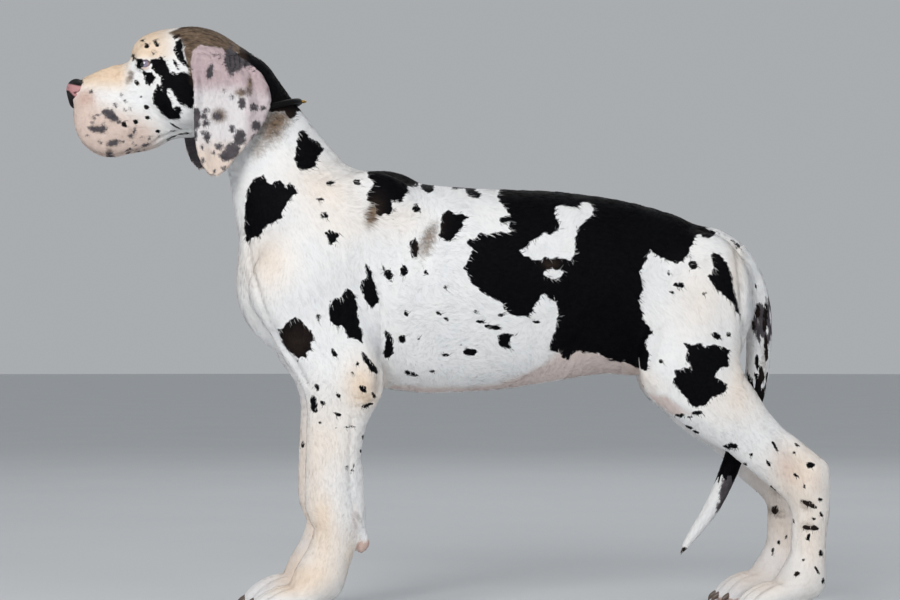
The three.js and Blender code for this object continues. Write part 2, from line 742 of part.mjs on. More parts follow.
const thighMeshes = [];
for (const [side, s] of SIDES) {
  const [forePaw, hindPaw] = [FORE_PAWS, HIND_PAWS].map((paws) => paws[s < 0 ? 0 : 1]);
  const bareArm = bodyOf(bodyMesh(boxRound(-135, s * FORE_STANCE, 165, [65, 44, 105]), CELL.arm));
  const arm = bareArm.add(carpalPad(s));
  add(`foreleg_${side}`, before(after(arm, CUT.brisket), CUT.wrist), coats.white);
  const foot = bodyOf(bodyMesh(boxRound(-175, forePaw.y, 51, [85, 46, 59]), CELL.forepaw));
  add(`forepaw_${side}`, onFloor(withClaws(after(foot, CUT.wrist), forePaw)), coats.white);

  const [low, high] = s < 0 ? [-110, 8] : [-8, 110];
  const thigh = bodyMesh([[190, low, 190], [385, high, 470]], CELL.thigh);
  thighMeshes.push(thigh);
  add(`thigh_${side}`, onSide(before(after(bodyOf(thigh), CUT.thighTop), CUT.stifle), s), coats.white);
  const shank = bodyOf(bodyMesh([[215, low, 96], [450, high, 330]], CELL.shank));
  add(`shank_${side}`, onSide(before(after(shank, CUT.stifle), CUT.hock), s), coats.white);
  const rear = bodyOf(bodyMesh([[295, low, -8], [445, high, 140]], CELL.hindpaw));
  add(`hindpaw_${side}`, onFloor(withClaws(after(rear, CUT.hock), hindPaw)), coats.white);
}

// Tail, cut clear of the croup and thighs that it grows from.
const tailRadii = radiiAlong(TAIL.map((station) => station[2]), 24);
const tailBar = bar(TAIL.map(([x, z]) => [x, 0, z]), tailRadii, 8);
const tailFree = [trunkMesh, ...thighMeshes].reduce((shape, mesh) => shape.subtract(grown(mesh)), tailBar);
add("tail_root", before(tailFree, CUT.tailHalf), coats.white);
add("tail_tip", after(tailFree, CUT.tailHalf), coats.white);

for (const [side, s] of SIDES) add(`eye_${side}`, eyeBall(s, EYE_RADIUS), coats.eye);

// Collar: a round leather loop laid on the neck, from the throat under the ears to a brass ring at the nape.
// It bows up a little at the sides.
const COLLAR = { centre: [-232, 0, 556], slope: 0.46, bow: 9, steps: 28, sides: 6, lift: 4.2 };
const RING = { radius: 6.6, wire: 1.7, out: 1 };
const towardsNape = new THREE.Vector3(Math.cos(COLLAR.slope), 0, Math.sin(COLLAR.slope));
const upNeck = new THREE.Vector3(-Math.sin(COLLAR.slope), 0, Math.cos(COLLAR.slope));
const loop = Array.from({ length: COLLAR.steps }, (_, i) => {
  const a = (2 * Math.PI * i) / COLLAR.steps;
  const way = towardsNape.clone().multiplyScalar(Math.cos(a)).add(new THREE.Vector3(0, Math.sin(a), 0));
  const clear = COLLAR_RADIUS + 3 * SEAM + COLLAR.lift * Math.max(0, Math.cos(a)) ** 4;
  const point = new THREE.Vector3(...COLLAR.centre).addScaledVector(way, 20);
  point.addScaledVector(upNeck, COLLAR.bow * Math.sin(a) ** 2);
  while (bodyField(...point.toArray()) < clear) point.addScaledVector(way, 0.5);
  return point.toArray();
});
const collarBar = (radius) =>
  bar(loop, loop.map(() => radius), COLLAR.sides, {
    closed: true,
    acrossFrom: upNeck.toArray(),
  });
const ringPlace = new THREE.Vector3(...loop[0]).addScaledVector(towardsNape, RING.out);
const ring = new THREE.TorusGeometry(RING.radius, RING.wire, 6, 14).rotateX(Math.PI / 2);
add("collar", collarBar(COLLAR_RADIUS), coats.leather);
add("collar_ring", solidFrom(ring.translate(...ringPlace.toArray())), coats.brass);

// Ears: thin leaves that hang from the sides of the skull, resting on the cheek and the neck.
// Each row runs from the front edge to the rear edge: [front x, rear x, front z, rear z].
const EAR_ROWS = [
  [-300, -248, 641, 636],
  [-303, -232, 634, 626],
  [-300, -218, 620, 612],
  [-296, -208, 600, 595],
  [-295, -206, 576, 578],
  [-295, -214, 553, 556],
  [-292, -230, 526, 533],
  [-285, -247, 506, 513],
  [-274, -262, 494, 497],
];
const EAR_SWING = { left: { forward: 0, raised: 0 }, right: { forward: 11, raised: 17 } };
const EAR = { columns: 7, sunk: 0.4, rest: 2, hang: 12, bulge: 5, fold: 3, attached: 2.2 };
function ear(s, swing) {
  const rows = EAR_ROWS.length - 1;
  const hang = sideOfBody(-262, 600) + EAR.hang;
  const rings = EAR_ROWS.map(([frontX, rearX, frontZ, rearZ], r) => {
    const free = clamp(r / EAR.attached, 0, 1);
    const row = Array.from({ length: EAR.columns + 1 }, (_, c) => {
      const u = c / EAR.columns;
      const x = lerp(frontX, rearX, u) - swing.forward;
      const z = lerp(frontZ, rearZ, u) + swing.raised * (r / rows) ** 2;
      const skin = sideOfBody(x, z);
      const crown = EAR.bulge * Math.sin(Math.PI * u) + EAR.fold * Math.sin(7 * u - 0.7 * r);
      const out = lerp(skin + EAR.sunk, hang - 6 * (r / rows) ** 2, free) + crown * free;
      return [x, Math.max(out, lerp(0, skin + EAR.rest + EAR_THICKNESS / 2, free)), z];
    });
    const half = (c) => EAR_THICKNESS * (c === 0 || c === EAR.columns ? 0.28 : 0.5);
    const outer = row.map(([x, y, z], c) => [x, s * (y + half(c)), z]);
    const inner = row.map(([x, y, z], c) => [x, s * (y - half(c)), z]);
    return [...outer, ...inner.reverse()];
  });
  return loft(rings, { leaf: true });
}
const earRoom = [grown(headMesh), grown(neckMesh), collarBar(COLLAR_RADIUS + 2 * SEAM)];
for (const [side, s] of SIDES) {
  const leaf = earRoom.reduce((shape, room) => shape.subtract(room), ear(s, EAR_SWING[side]));
  add(`ear_${side}`, leaf, coats.white);
}

// The origin is on the floor, under the middle of the whole.
const middle = new THREE.Box3().setFromObject(dog).getCenter(new THREE.Vector3());
dog.position.set(-middle.x, -middle.y, 0);

export default dog;
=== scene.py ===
"""Looks of a harlequin Great Dane puppy, standing still in a show stance, life size.

The flesh is one field of named masses in millimetres, like the solids' with finer folds, ears and lids.
It is meshed once, so that one skin runs from nose to tail, and a short coat of flat tufts lies over it.
"""

import math

import bpy
import numpy as np
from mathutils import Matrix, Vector


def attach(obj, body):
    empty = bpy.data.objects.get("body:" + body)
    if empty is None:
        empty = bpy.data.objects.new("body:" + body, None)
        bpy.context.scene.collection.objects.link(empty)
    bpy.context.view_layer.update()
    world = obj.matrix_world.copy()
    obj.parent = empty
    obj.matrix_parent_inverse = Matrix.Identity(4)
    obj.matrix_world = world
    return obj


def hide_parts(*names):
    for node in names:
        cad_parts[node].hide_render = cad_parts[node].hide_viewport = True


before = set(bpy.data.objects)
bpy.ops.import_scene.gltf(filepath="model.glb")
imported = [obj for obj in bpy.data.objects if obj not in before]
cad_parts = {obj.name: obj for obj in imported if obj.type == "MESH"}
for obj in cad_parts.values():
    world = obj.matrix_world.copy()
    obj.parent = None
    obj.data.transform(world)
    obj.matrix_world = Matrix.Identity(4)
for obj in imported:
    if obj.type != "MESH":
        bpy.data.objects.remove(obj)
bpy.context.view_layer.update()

MM = 0.001
SIDES = ((-1, "left"), (1, "right"))

# Flesh masses, in millimetres: the head towards -X, the left side towards -Y, the floor at Z 0
WITHERS = 506
CHEST_HALF_WIDTH = 84
CHEST_FLOOR = 254
FORE_STANCE = 66
HIND_STANCE = 62
STIFLE_BACK = {-1: 0, 1: 20}
EYE = np.array([-348.0, 31.0, 622.0])
EYEBALL = 8.6
EAR_THICKNESS = 4.4
COAT_DEPTH = 0.8  # how far the skin lies inside the solids
HEAD_BACK, HEAD_FLOOR = -250, 500  # the head lies before and above these


def lerp(a, b, t):
    return a + (b - a) * t


def smoothstep(low, high, x):
    t = np.clip((x - low) / (high - low), 0, 1)
    return t * t * (3 - 2 * t)


def curve_points(points, ts):
    """Points of a centripetal Catmull-Rom curve at shares ts of its length in control points."""
    p = np.asarray(points, float)
    p = np.vstack([2 * p[0] - p[1], p, 2 * p[-1] - p[-2]])
    found = []
    for t in ts:
        at = t * (len(p) - 3)
        i = min(int(at), len(p) - 4)
        w = at - i
        a, b, c, d = p[i : i + 4]
        ab, bc, cd = (max(np.linalg.norm(v), 1e-4) ** 0.5 for v in (b - a, c - b, d - c))
        out = ((b - a) / ab - (c - a) / (ab + bc) + (c - b) / bc) * bc
        into = ((c - b) / bc - (d - b) / (bc + cd) + (d - c) / cd) * bc
        cubic = 2 * b - 2 * c + out + into
        square = -3 * b + 3 * c - 2 * out - into
        found.append(b + out * w + square * w**2 + cubic * w**3)
    return np.array(found)


def tube(blend, stations, egg=0.0, steps=3):
    """A row of elliptical stations [x, y, z, half width across the body, half depth]."""
    rows = np.asarray(stations, float)
    ts = np.linspace(0, 1, (len(rows) - 1) * steps + 1)
    sizes = np.hstack([rows[:, 3:5], np.zeros((len(rows), 1))])
    rows = np.hstack([curve_points(rows[:, :3], ts), curve_points(sizes, ts)[:, :2]])

    def distance(p):
        best = np.full(len(p), 1e9, np.float32)
        for a, b in zip(rows[:-1], rows[1:]):
            span = (b - a)[:3]
            start, way = a[:3].astype(np.float32), span.astype(np.float32)
            t = np.clip(((p - start) @ way) / max(span @ span, 1e-9), 0, 1)
            q = p - start - t[:, None] * way
            side, tall = lerp(a[3], b[3], t), lerp(a[4], b[4], t)
            if egg:
                side = side * (1 + egg * np.clip(q[:, 2] / tall, -1, 1))
            across = np.hypot(q[:, 0], q[:, 2])
            ratio = np.maximum(np.hypot(q[:, 1] / side, across / tall), 1e-3)
            best = np.minimum(best, np.hypot(q[:, 1], across) * (1 - 1 / ratio))
        return best

    reach = rows[:, 3:5].max() + blend + 20
    low, high = rows[:, :3].min(0) - reach, rows[:, :3].max(0) + reach
    return {"blend": blend, "low": low, "high": high, "distance": distance}


def ball(blend, centre, radii, pitch=0):
    c, s = math.cos(math.radians(pitch)), math.sin(math.radians(pitch))
    centre = np.asarray(centre, np.float32)

    def distance(p):
        q = p - centre
        x, y, z = q[:, 0] * c + q[:, 2] * s, q[:, 1], q[:, 2] * c - q[:, 0] * s
        ratio = np.maximum(np.sqrt((x / radii[0]) ** 2 + (y / radii[1]) ** 2 + (z / radii[2]) ** 2), 1e-3)
        return np.sqrt(x * x + y * y + z * z) * (1 - 1 / ratio)

    reach = max(radii) + blend + 20
    return {"blend": blend, "low": centre - reach, "high": centre + reach, "distance": distance}


def carve(mass):
    return {**mass, "hollow": True}


def both_sides(make):
    return [*make(-1), *make(1)]


def section(x, top, bottom, side):
    return [x, 0, (top + bottom) / 2, side, (top - bottom) / 2]


TRUNK = [
    tube(20, [
        section(-156, WITHERS - 40, 290, 58),
        section(-100, WITHERS - 8, 264, 75),
        section(-20, WITHERS - 15, CHEST_FLOOR - 2, CHEST_HALF_WIDTH),
        section(60, WITHERS - 18, CHEST_FLOOR + 3, CHEST_HALF_WIDTH - 2),
        section(120, WITHERS - 20, CHEST_FLOOR + 13, CHEST_HALF_WIDTH - 9),
        section(175, WITHERS - 27, CHEST_FLOOR + 20, CHEST_HALF_WIDTH - 17),
        section(230, WITHERS - 40, CHEST_FLOOR + 18, CHEST_HALF_WIDTH - 23),
        section(280, WITHERS - 62, CHEST_FLOOR + 32, CHEST_HALF_WIDTH - 28),
        section(308, WITHERS - 80, CHEST_FLOOR + 92, CHEST_HALF_WIDTH - 42),
    ], egg=0.14),
    ball(22, [-172, 0, 374], [60, 50, 72], 20),
    ball(14, [-88, 0, WITHERS - 29], [50, 26, 30], 12),
]

NECK = tube(24, [
    [-243, 0, 592, 43, 48],
    [-221, 0, 556, 45, 51],
    [-198, 0, 516, 49, 58],
    [-173, 0, 462, 58, 74],
    [-145, 0, 415, 66, 84],
], egg=-0.05)


def foreleg(s):
    y = s * FORE_STANCE
    return [
        tube(26, [
            [-92, s * 40, 462, 26, 40],
            [-140, s * 52, 425, 27, 48],
            [-184, s * 58, 374, 28, 42],
        ]),
        tube(24, [
            [-184, s * 58, 366, 29, 42],
            [-150, s * 61, 316, 30, 50],
            [-128, s * 63, 276, 29, 42],
        ]),
        ball(14, [-110, s * 67, 266], [18, 19, 23]),
        tube(18, [
            [-128, y, 262, 29, 41],
            [-134, y, 230, 26, 35],
            [-138, y, 200, 24, 32],
            [-140, y, 165, 23, 31],
            [-140, y, 132, 24.5, 31],
            [-136, y, 104, 24, 25],
            [-142, y, 78, 23.5, 25.5],
            [-154, y, 52, 25, 26],
        ]),
        tube(9, [
            [-118, y - s * 2, 165, 12, 13],
            [-115, y - s * 2, 120, 13, 13],
            [-113, y - s * 2, 92, 10, 9.5],
        ]),
    ]


def hindleg(s):
    y = s * HIND_STANCE
    back = STIFLE_BACK[s]
    return [
        ball(22, [283 + back * 0.3, s * 44, 345], [56, 36, 90], -10),
        ball(24, [268 + back * 0.8, s * 52, 298], [48, 33, 52], 24),
        ball(18, [312, s * 36, 346], [29, 25, 58], -4),
        tube(22, [
            [257 + back, y - s * 2, 277, 31, 46],
            [290 + back * 0.8, y, 250, 29, 45],
            [311 + back * 0.65, y, 231, 27, 41],
            [330 + back * 0.5, y, 214, 24.5, 34],
            [355 + back * 0.3, y, 190, 21.5, 31],
            [380 + back * 0.1, y, 168, 19.5, 30.5],
            [400 + back * 0.1, y, 149, 19, 27],
        ]),
        tube(12, [[380, y, 190, 10, 12], [415, y, 166, 12.5, 14.5]]),
        tube(14, [
            [404 + back * 0.2, y, 148, 19.5, 24],
            [408 + back * 0.25, y, 122, 19, 22.5],
            [406 + back * 0.25, y, 92, 18.5, 20.5],
            [405 + back * 0.25, y, 62, 19, 21],
            [402 + back * 0.25, y, 40, 21, 23],
        ]),
    ]


# Paws: how far each toe lies across and reaches, and how its claw leans.
TOES = ((-23, -9, -3), (-8.5, 0, 0), (8.5, 0, 0), (23, -9, 3))
PAWS = [(-164, s * FORE_STANCE, 1.0) for s, _ in SIDES] + [(390 + 2 * s, s * HIND_STANCE, 0.92) for s,
        _ in SIDES]


def paw_point(paw, forward, across, up):
    x, y, k = paw
    return [x - forward * k, y + across * k, up * k]


def paw_flesh(paw):
    k = paw[2]

    def station(forward, across, up, side, tall):
        return [*paw_point(paw, forward, across, up), side * k, tall * k]

    toes = []
    for across, reach, _ in TOES:
        toes.append(tube(3.2, [
            station(10 + reach / 2, across * 0.7, 28, 11.6, 13),
            station(34 + reach, across * 0.98, 27.5, 11.2, 12.6),
            station(53 + reach, across * 1.02, 19, 10.5, 11),
            station(60 + reach, across * 1.02, 11.5, 9.6, 11),
        ], steps=2))
        toes.append(ball(2, paw_point(paw, 51 + reach, across, 6), [11.5 * k, 8.5 * k, 7.6 * k]))
    return [
        tube(14, [station(-10, 0, 46, 25, 25), station(8, 0, 31, 29, 20)]),
        *toes,
        ball(4, paw_point(paw, 4, 0, 10), [23 * k, 24 * k, 11.5 * k]),
        *[ball(4, paw_point(paw, -5, across, 9), [12 * k, 9 * k, 10.5 * k]) for across in (-14, 14)],
    ]


HEAD = [
    ball(20, [-292, 0, 622], [60, 47, 47], -6),
    ball(16, [-330, 0, 634], [33, 36, 26], -14),
    tube(14, [
        [-345, 0, 598, 31, 31],
        [-375, 0, 594, 28, 31],
        [-402, 0, 589, 26, 25],
        [-410, 0, 588, 23, 20],
    ]),
    ball(18, [-286, 0, 574], [50, 36, 29], 0),
    tube(10, [[-300, 0, 562, 26, 17], [-350, 0, 551, 23, 17], [-398, 0, 543, 17, 14]]),
    *both_sides(lambda s: [
        ball(16, [-304, s * 32, 594], [40, 20, 38], 10),
        ball(12, [-357, s * 16, 569], [44, 17.5, 42], 0),
        ball(9, [-385, s * 15, 556], [37, 16.5, 36], 12),
        ball(10, [-400, s * 13, 566], [27, 16, 34], 0),
        ball(9, [EYE[0] + 6, s * 24, EYE[2] + 11], [15, 12, 8], 10),
    ]),
    carve(tube(4, [
        [-436, 0, 572, 1.5, 2],
        [-431, 0, 556, 2, 4],
        [-424, 0, 530, 4, 5],
        [-400, 0, 512, 6, 7],
    ])),
]

# Folds and hollows that the coarse solids leave out.
FOLDS = both_sides(lambda s: [
    carve(tube(5, [[-404, s * 11, 517, 1.6, 9], [-375, s * 15, 512, 2.2, 10], [-345, s * 19, 520, 2, 8]])),
    carve(tube(10, [[-236, s * 42, 430, 3, 5], [-224, s * 47, 380, 3, 6],
                    [-196, s * 50, 322, 3, 6], [-168, s * 50, 276, 2, 5]])),
    carve(tube(10, [[-72, s * 84, 330, 3, 4], [-80, s * 86, 296, 4, 5], [-84, s * 80, 262, 4, 6]])),
    carve(tube(8, [[376, s * (HIND_STANCE + 21), 196, 3, 6], [398, s * (HIND_STANCE + 21), 172, 3, 5]])),
    carve(tube(8, [[-114, s * (FORE_STANCE + 28), 190, 3, 5], [-124, s * (FORE_STANCE + 27), 130, 3, 4]])),
    tube(3, [[-119, s * FORE_STANCE, 121, 6, 6], [-110, s * FORE_STANCE, 101, 7.4, 7.6],
             [-106, s * FORE_STANCE, 88, 8, 8], [-108, s * FORE_STANCE, 82, 7, 6]]),
])


def eye_centre(s):
    return np.array([EYE[0] + 1.5, s * (EYE[1] - 4), EYE[2] - 0.5])


def eye_region(s):
    """Lids closed over the ball but for a small almond."""
    almond = [[x, s * (EYE[1] + 5), z, 6.5, tall] for x, z, tall in (
        (EYE[0] - 5.2, EYE[2] - 1.8, 0.5), (EYE[0] - 2, EYE[2] - 0.6, 3.0),
        (EYE[0] + 1.6, EYE[2] - 0.4, 3.1), (EYE[0] + 5, EYE[2] + 0.4, 0.5))]
    return [ball(3, eye_centre(s), [EYEBALL + 3.2] * 3), carve(tube(0.8, almond)),
            carve(ball(1.0, eye_centre(s), [EYEBALL - 0.6] * 3))]


# Tail: x, z and radius from the croup to the tip.
TAIL = (
    (306, 424, 20), (332, 410, 19), (351, 385, 17.5), (362, 350, 16.2), (364, 312, 15.2), (361, 272, 14.2),
    (354, 238, 13.2), (343, 204, 12.2), (332, 172, 11.6), (319, 141, 10.6), (304, 113, 9.4), (288, 91, 7.4),
    (276, 74, 4.6), (271, 66, 1.6),
)
TAIL_MASS = tube(2, [[x, 0, z, r, r] for x, z, r in TAIL])

BODY = [
    *TRUNK, NECK, *both_sides(foreleg), *both_sides(hindleg),
    *[mass for paw in PAWS for mass in paw_flesh(paw)], *HEAD, *FOLDS, *both_sides(eye_region),
]


def melt(a, b, k):
    h = np.maximum(k - np.abs(a - b), 0) / k
    return np.minimum(a, b) - h * h * k / 4


def field_of(masses, blocks, far=60.0):
    """The field at blocks of points, an array (blocks, points, 3); each mass is read only near itself."""
    d = np.full(blocks.shape[:2], far, np.float32)
    low, high = blocks.min(1), blocks.max(1)
    for m in masses:
        near = np.flatnonzero(((high >= m["low"]) & (low <= m["high"])).all(1))
        if len(near) == 0:
            continue
        own = m["distance"](blocks[near].reshape(-1, 3)).reshape(len(near), -1)
        was = d[near]
        d[near] = -melt(-was, own, m["blend"]) if m.get("hollow") else melt(was, own, m["blend"])
    return d


def field_at(masses, points):
    return field_of(masses, np.asarray(points, np.float32)[:, None, :])[:, 0]


# Ears: thin leaves that hang from the sides of the skull
EAR_ROWS = np.array([
    [-300, -248, 641, 636],
    [-303, -232, 634, 626],
    [-300, -218, 620, 612],
    [-296, -208, 600, 595],
    [-295, -206, 576, 578],
    [-295, -214, 553, 556],
    [-292, -230, 526, 533],
    [-285, -247, 506, 513],
    [-274, -262, 494, 497],
], float)
EAR_SWING = {-1: (0, 0), 1: (11, 17)}  # how far each ear lies forward and how far its tip is raised
EAR = {"sunk": 0.2, "rest": 2.2, "hang": 12, "bulge": 5, "fold": 3, "attached": 2.2}


def side_map(xs, zs):
    """Half width of the body at each x and z of a grid, going in from outside."""
    gx, gz = np.meshgrid(xs, zs, indexing="ij")
    p = np.stack([gx.ravel(), np.full(gx.size, 130.0), gz.ravel()], 1)
    for _ in range(40):
        d = field_at(BODY_SMOOTH, p)
        p[:, 1] = np.maximum(p[:, 1] - np.where(d > 0.2, np.maximum(0.4, d * 0.6), 0), 0)
    return p[:, 1].reshape(gx.shape)


def bilinear(grid, xs, zs, x, z):
    fx = np.clip((x - xs[0]) / (xs[1] - xs[0]), 0, len(xs) - 1.001)
    fz = np.clip((z - zs[0]) / (zs[1] - zs[0]), 0, len(zs) - 1.001)
    i, k = fx.astype(int), fz.astype(int)
    tx, tz = fx - i, fz - k
    near = lerp(grid[i, k], grid[i + 1, k], tx)
    return lerp(near, lerp(grid[i, k + 1], grid[i + 1, k + 1], tx), tz)


BODY_SMOOTH = [*TRUNK, NECK, *both_sides(foreleg), *HEAD]
SIDE_X, SIDE_Z = np.arange(-340, -180, 4.0), np.arange(480, 664, 4.0)
SIDE_OF_BODY = side_map(SIDE_X, SIDE_Z)


def polygon_distance(points, outline):
    """Signed distance of 2-D points to a closed outline, negative inside."""
    a = np.asarray(outline, np.float32)
    b = np.roll(a, -1, 0)
    best = np.full(len(points), 1e12, np.float32)
    inside = np.zeros(len(points), bool)
    x, y = points[:, 0], points[:, 1]
    for (ax, ay), (bx, by) in zip(a, b):
        ex, ey = bx - ax, by - ay
        t = np.clip(((x - ax) * ex + (y - ay) * ey) / max(ex * ex + ey * ey, 1e-9), 0, 1)
        best = np.minimum(best, (x - ax - t * ex) ** 2 + (y - ay - t * ey) ** 2)
        if ay != by:
            inside ^= ((ay > y) != (by > y)) & (x < ax + (y - ay) * ex / (by - ay))
    return np.where(inside, -1, 1) * np.sqrt(best)


def ear_distance(p, s):
    """Distance to an ear's leaf, and how free of the skull it is there, from 0 to 1."""
    forward, raised = EAR_SWING[s]
    rows = len(EAR_ROWS) - 1
    lift = raised * (np.arange(rows + 1) / rows) ** 2
    front, rear = EAR_ROWS[:, 0] - forward, EAR_ROWS[:, 1] - forward
    front_z, rear_z = EAR_ROWS[:, 2] + lift, EAR_ROWS[:, 3] + lift
    outline = np.vstack([np.stack([front, front_z], 1), np.stack([rear, rear_z], 1)[::-1]])
    outline = curve_points(np.vstack([outline, outline[:1]]), np.linspace(0, 1, 54))
    middle_z = (front_z + rear_z) / 2
    x, z = p[:, 0], p[:, 2]
    r = np.interp(-z, -middle_z, np.arange(rows + 1))
    u = np.clip((x - np.interp(-z, -front_z, front)) / np.interp(-z, -middle_z, rear - front), 0, 1)
    free = np.clip(r / EAR["attached"], 0, 1)
    skin = bilinear(SIDE_OF_BODY, SIDE_X, SIDE_Z, x, z)
    hang = HANG_FROM + EAR["hang"] - 6 * (r / rows) ** 2
    crown = EAR["bulge"] * np.sin(math.pi * u) + EAR["fold"] * np.sin(7 * u - 0.7 * r)
    out = lerp(skin + EAR["sunk"], hang, free) + crown * free
    out = np.maximum(out, lerp(0, skin + EAR["rest"] + EAR_THICKNESS / 2, free))
    flat = np.abs(s * p[:, 1] - out) - EAR_THICKNESS / 2
    rim = polygon_distance(np.stack([x, z], 1), outline)
    rim = np.maximum(rim, -20)
    both = -melt(-flat, -rim, 3.0)
    return both, free


HANG_FROM = float(bilinear(SIDE_OF_BODY, SIDE_X, SIDE_Z, np.array([-262.0]), np.array([600.0]))[0])
PART_BODY, PART_EAR, PART_TAIL = 0, 1, 2


def whole_field(blocks, parts=False):
    """The skin's field, with tail and ears laid against the body, and which of them each point is nearest."""
    d = field_of(BODY, blocks)
    shape = d.shape
    d, p = d.ravel(), blocks.reshape(-1, 3)
    part = np.zeros(len(p), np.int8)
    near = np.flatnonzero((p[:, 0] > 240) & (np.abs(p[:, 1]) < 45))
    own = TAIL_MASS["distance"](p[near])
    part[near[own < d[near]]] = PART_TAIL
    d[near] = melt(d[near], own, lerp(2.0, 16.0, smoothstep(372, 408, p[near, 2])))
    for s, _ in SIDES:
        x, y, z = p.T
        near = np.flatnonzero((x < -190) & (x > -330) & (z > 480) & (z < 665) & (s * y > 5))
        own, free = ear_distance(p[near], s)
        part[near[own < d[near]]] = PART_EAR
        d[near] = melt(d[near], own, lerp(12.0, 1.5, free))
    d = (d + COAT_DEPTH).reshape(shape)
    return (d, part.reshape(shape)) if parts else d


# Meshing: a grid is read only in blocks near the surface, and each crossed cell gets one vertex
CELL = 1.8
BLOCK = 8
GRID_LOW = np.array([-449.0, -113.0, -7.0])
GRID_HIGH = np.array([447.0, 113.0, 684.0])


def meshed(field, low, high, cell, keep_within=7.5):
    shape = np.ceil((high - low) / cell / BLOCK).astype(int)
    half = BLOCK // 2
    coarse = [low[i] + np.arange(shape[i] * 2 + 1) * cell * half for i in range(3)]
    grid = np.stack(np.meshgrid(*coarse, indexing="ij"), -1).astype(np.float32)
    flat = grid.reshape(-1, 3)
    pad = -len(flat) % 64
    chunks = np.vstack([flat, np.repeat(flat[-1:], pad, 0)]).reshape(-1, 64, 3)
    rough = field(chunks).ravel()[: len(flat)].reshape(grid.shape[:3])
    least = np.full(shape, 1e9)
    most = np.full(shape, -1e9)
    closest = np.full(shape, 1e9)
    for di in range(3):
        for dj in range(3):
            for dk in range(3):
                v = rough[di : di + 2 * shape[0] : 2, dj : dj + 2 * shape[1] : 2,
                dk : dk + 2 * shape[2] : 2]
                v = v[: shape[0], : shape[1], : shape[2]]
                least, most = np.minimum(least, v), np.maximum(most, v)
                closest = np.minimum(closest, np.abs(v))
    kept = np.argwhere(((least < 0) & (most > 0)) | (closest < keep_within))
    values = np.where(rough[1::2, 1::2, 1::2] < 0, -1, 1).astype(np.float32)
    values = np.repeat(np.repeat(np.repeat(values, BLOCK, 0), BLOCK, 1), BLOCK, 2)
    values = np.pad(values, ((0, 1), (0, 1), (0, 1)), constant_values=1)
    offsets = np.stack(np.meshgrid(*[np.arange(BLOCK + 1)] * 3, indexing="ij"), -1).reshape(-1, 3)
    for start in range(0, len(kept), 1500):
        index = kept[start : start + 1500, None, :] * BLOCK + offsets[None]
        d = field((low + index * cell).astype(np.float32))
        values[index[..., 0], index[..., 1], index[..., 2]] = d
    inside = values < 0
    n = np.array(values.shape)
    count = sum(
        inside[i : n[0] - 1 + i, j : n[1] - 1 + j, k : n[2] - 1 + k].astype(np.int8)
        for i in (0, 1) for j in (0, 1) for k in (0, 1)
    )
    cells = np.argwhere((count > 0) & (count < 8))
    number = np.full(n - 1, -1, np.int32)
    number[tuple(cells.T)] = np.arange(len(cells))
    total, crossings = np.zeros((len(cells), 3)), np.zeros(len(cells))
    for a in range(8):
        for bit in (1, 2, 4):
            if a & bit:
                continue
            ca, cb = (np.array([c & 1, (c >> 1) & 1, c >> 2]) for c in (a, a | bit))
            va, vb = (values[tuple((cells + c).T)] for c in (ca, cb))
            crossed = (va < 0) != (vb < 0)
            t = np.where(crossed, va / np.where(crossed, va - vb, 1), 0)
            total += np.where(crossed[:, None], ca + t[:, None] * (cb - ca), 0)
            crossings += crossed
    points = low + (cells + total / crossings[:, None]) * cell
    quads = []
    for axis in range(3):
        u, v = (axis + 1) % 3, (axis + 2) % 3
        first = [slice(1, -1)] * 3
        first[axis] = slice(0, n[axis] - 1)
        second = list(first)
        second[axis] = slice(1, n[axis])
        here, there = inside[tuple(first)], inside[tuple(second)]
        at = np.argwhere(here != there) + np.array([0 if i == axis else 1 for i in range(3)])
        flip = inside[tuple(at.T)]
        ring = []
        for du, dv in ((0, 0), (1, 0), (1, 1), (0, 1)):
            back = np.zeros(3, int)
            back[u], back[v] = du, dv
            ring.append(number[tuple((at - back).T)])
        ring = np.stack(ring, 1)
        ring[~flip] = ring[~flip][:, ::-1]
        quads.append(ring)
    return points, np.vstack(quads)


def smoothed(points, quads, rounds=2, share=0.5):
    """Evens the mesh out, then gives back most of the shrinking."""
    for factor in [share, -share * 0.9] * rounds:
        total, count = np.zeros_like(points), np.zeros(len(points))
        for i in range(4):
            a, b = quads[:, i], quads[:, (i + 1) % 4]
            for axis in range(3):
                at_a = np.bincount(a, points[b, axis], len(points))
                total[:, axis] += at_a + np.bincount(b, points[a, axis], len(points))
            count += np.bincount(a, minlength=len(points)) + np.bincount(b, minlength=len(points))
        points = points + factor * (total / count[:, None] - points)
    return points


def mesh_object(name, points, faces, smooth=True):
    """An object from points in millimetres."""
    faces = np.asarray(faces)
    mesh = bpy.data.meshes.new(name)
    mesh.vertices.add(len(points))
    mesh.vertices.foreach_set("co", (np.asarray(points) * MM).astype(np.float32).ravel())
    mesh.loops.add(faces.size)
    mesh.loops.foreach_set("vertex_index", faces.astype(np.int32).ravel())
    mesh.polygons.add(len(faces))
    mesh.polygons.foreach_set("loop_start", np.arange(0, faces.size, faces.shape[1], dtype=np.int32))
    mesh.update(calc_edges=True)
    mesh.polygons.foreach_set("use_smooth", np.full(len(faces), smooth))
    made = bpy.data.objects.new(name, mesh)
    bpy.context.scene.collection.objects.link(made)
    return made


def attribute(mesh, name, values):
    mesh.attributes.new(name, "FLOAT", "POINT").data.foreach_set("value", np.asarray(values, np.float32))


def points_and_normals(mesh):
    co, no = (np.zeros(len(mesh.vertices) * 3, np.float32) for _ in range(2))
    mesh.vertices.foreach_get("co", co)
    mesh.vertices.foreach_get("normal", no)
    return co.reshape(-1, 3) / MM, no.reshape(-1, 3)


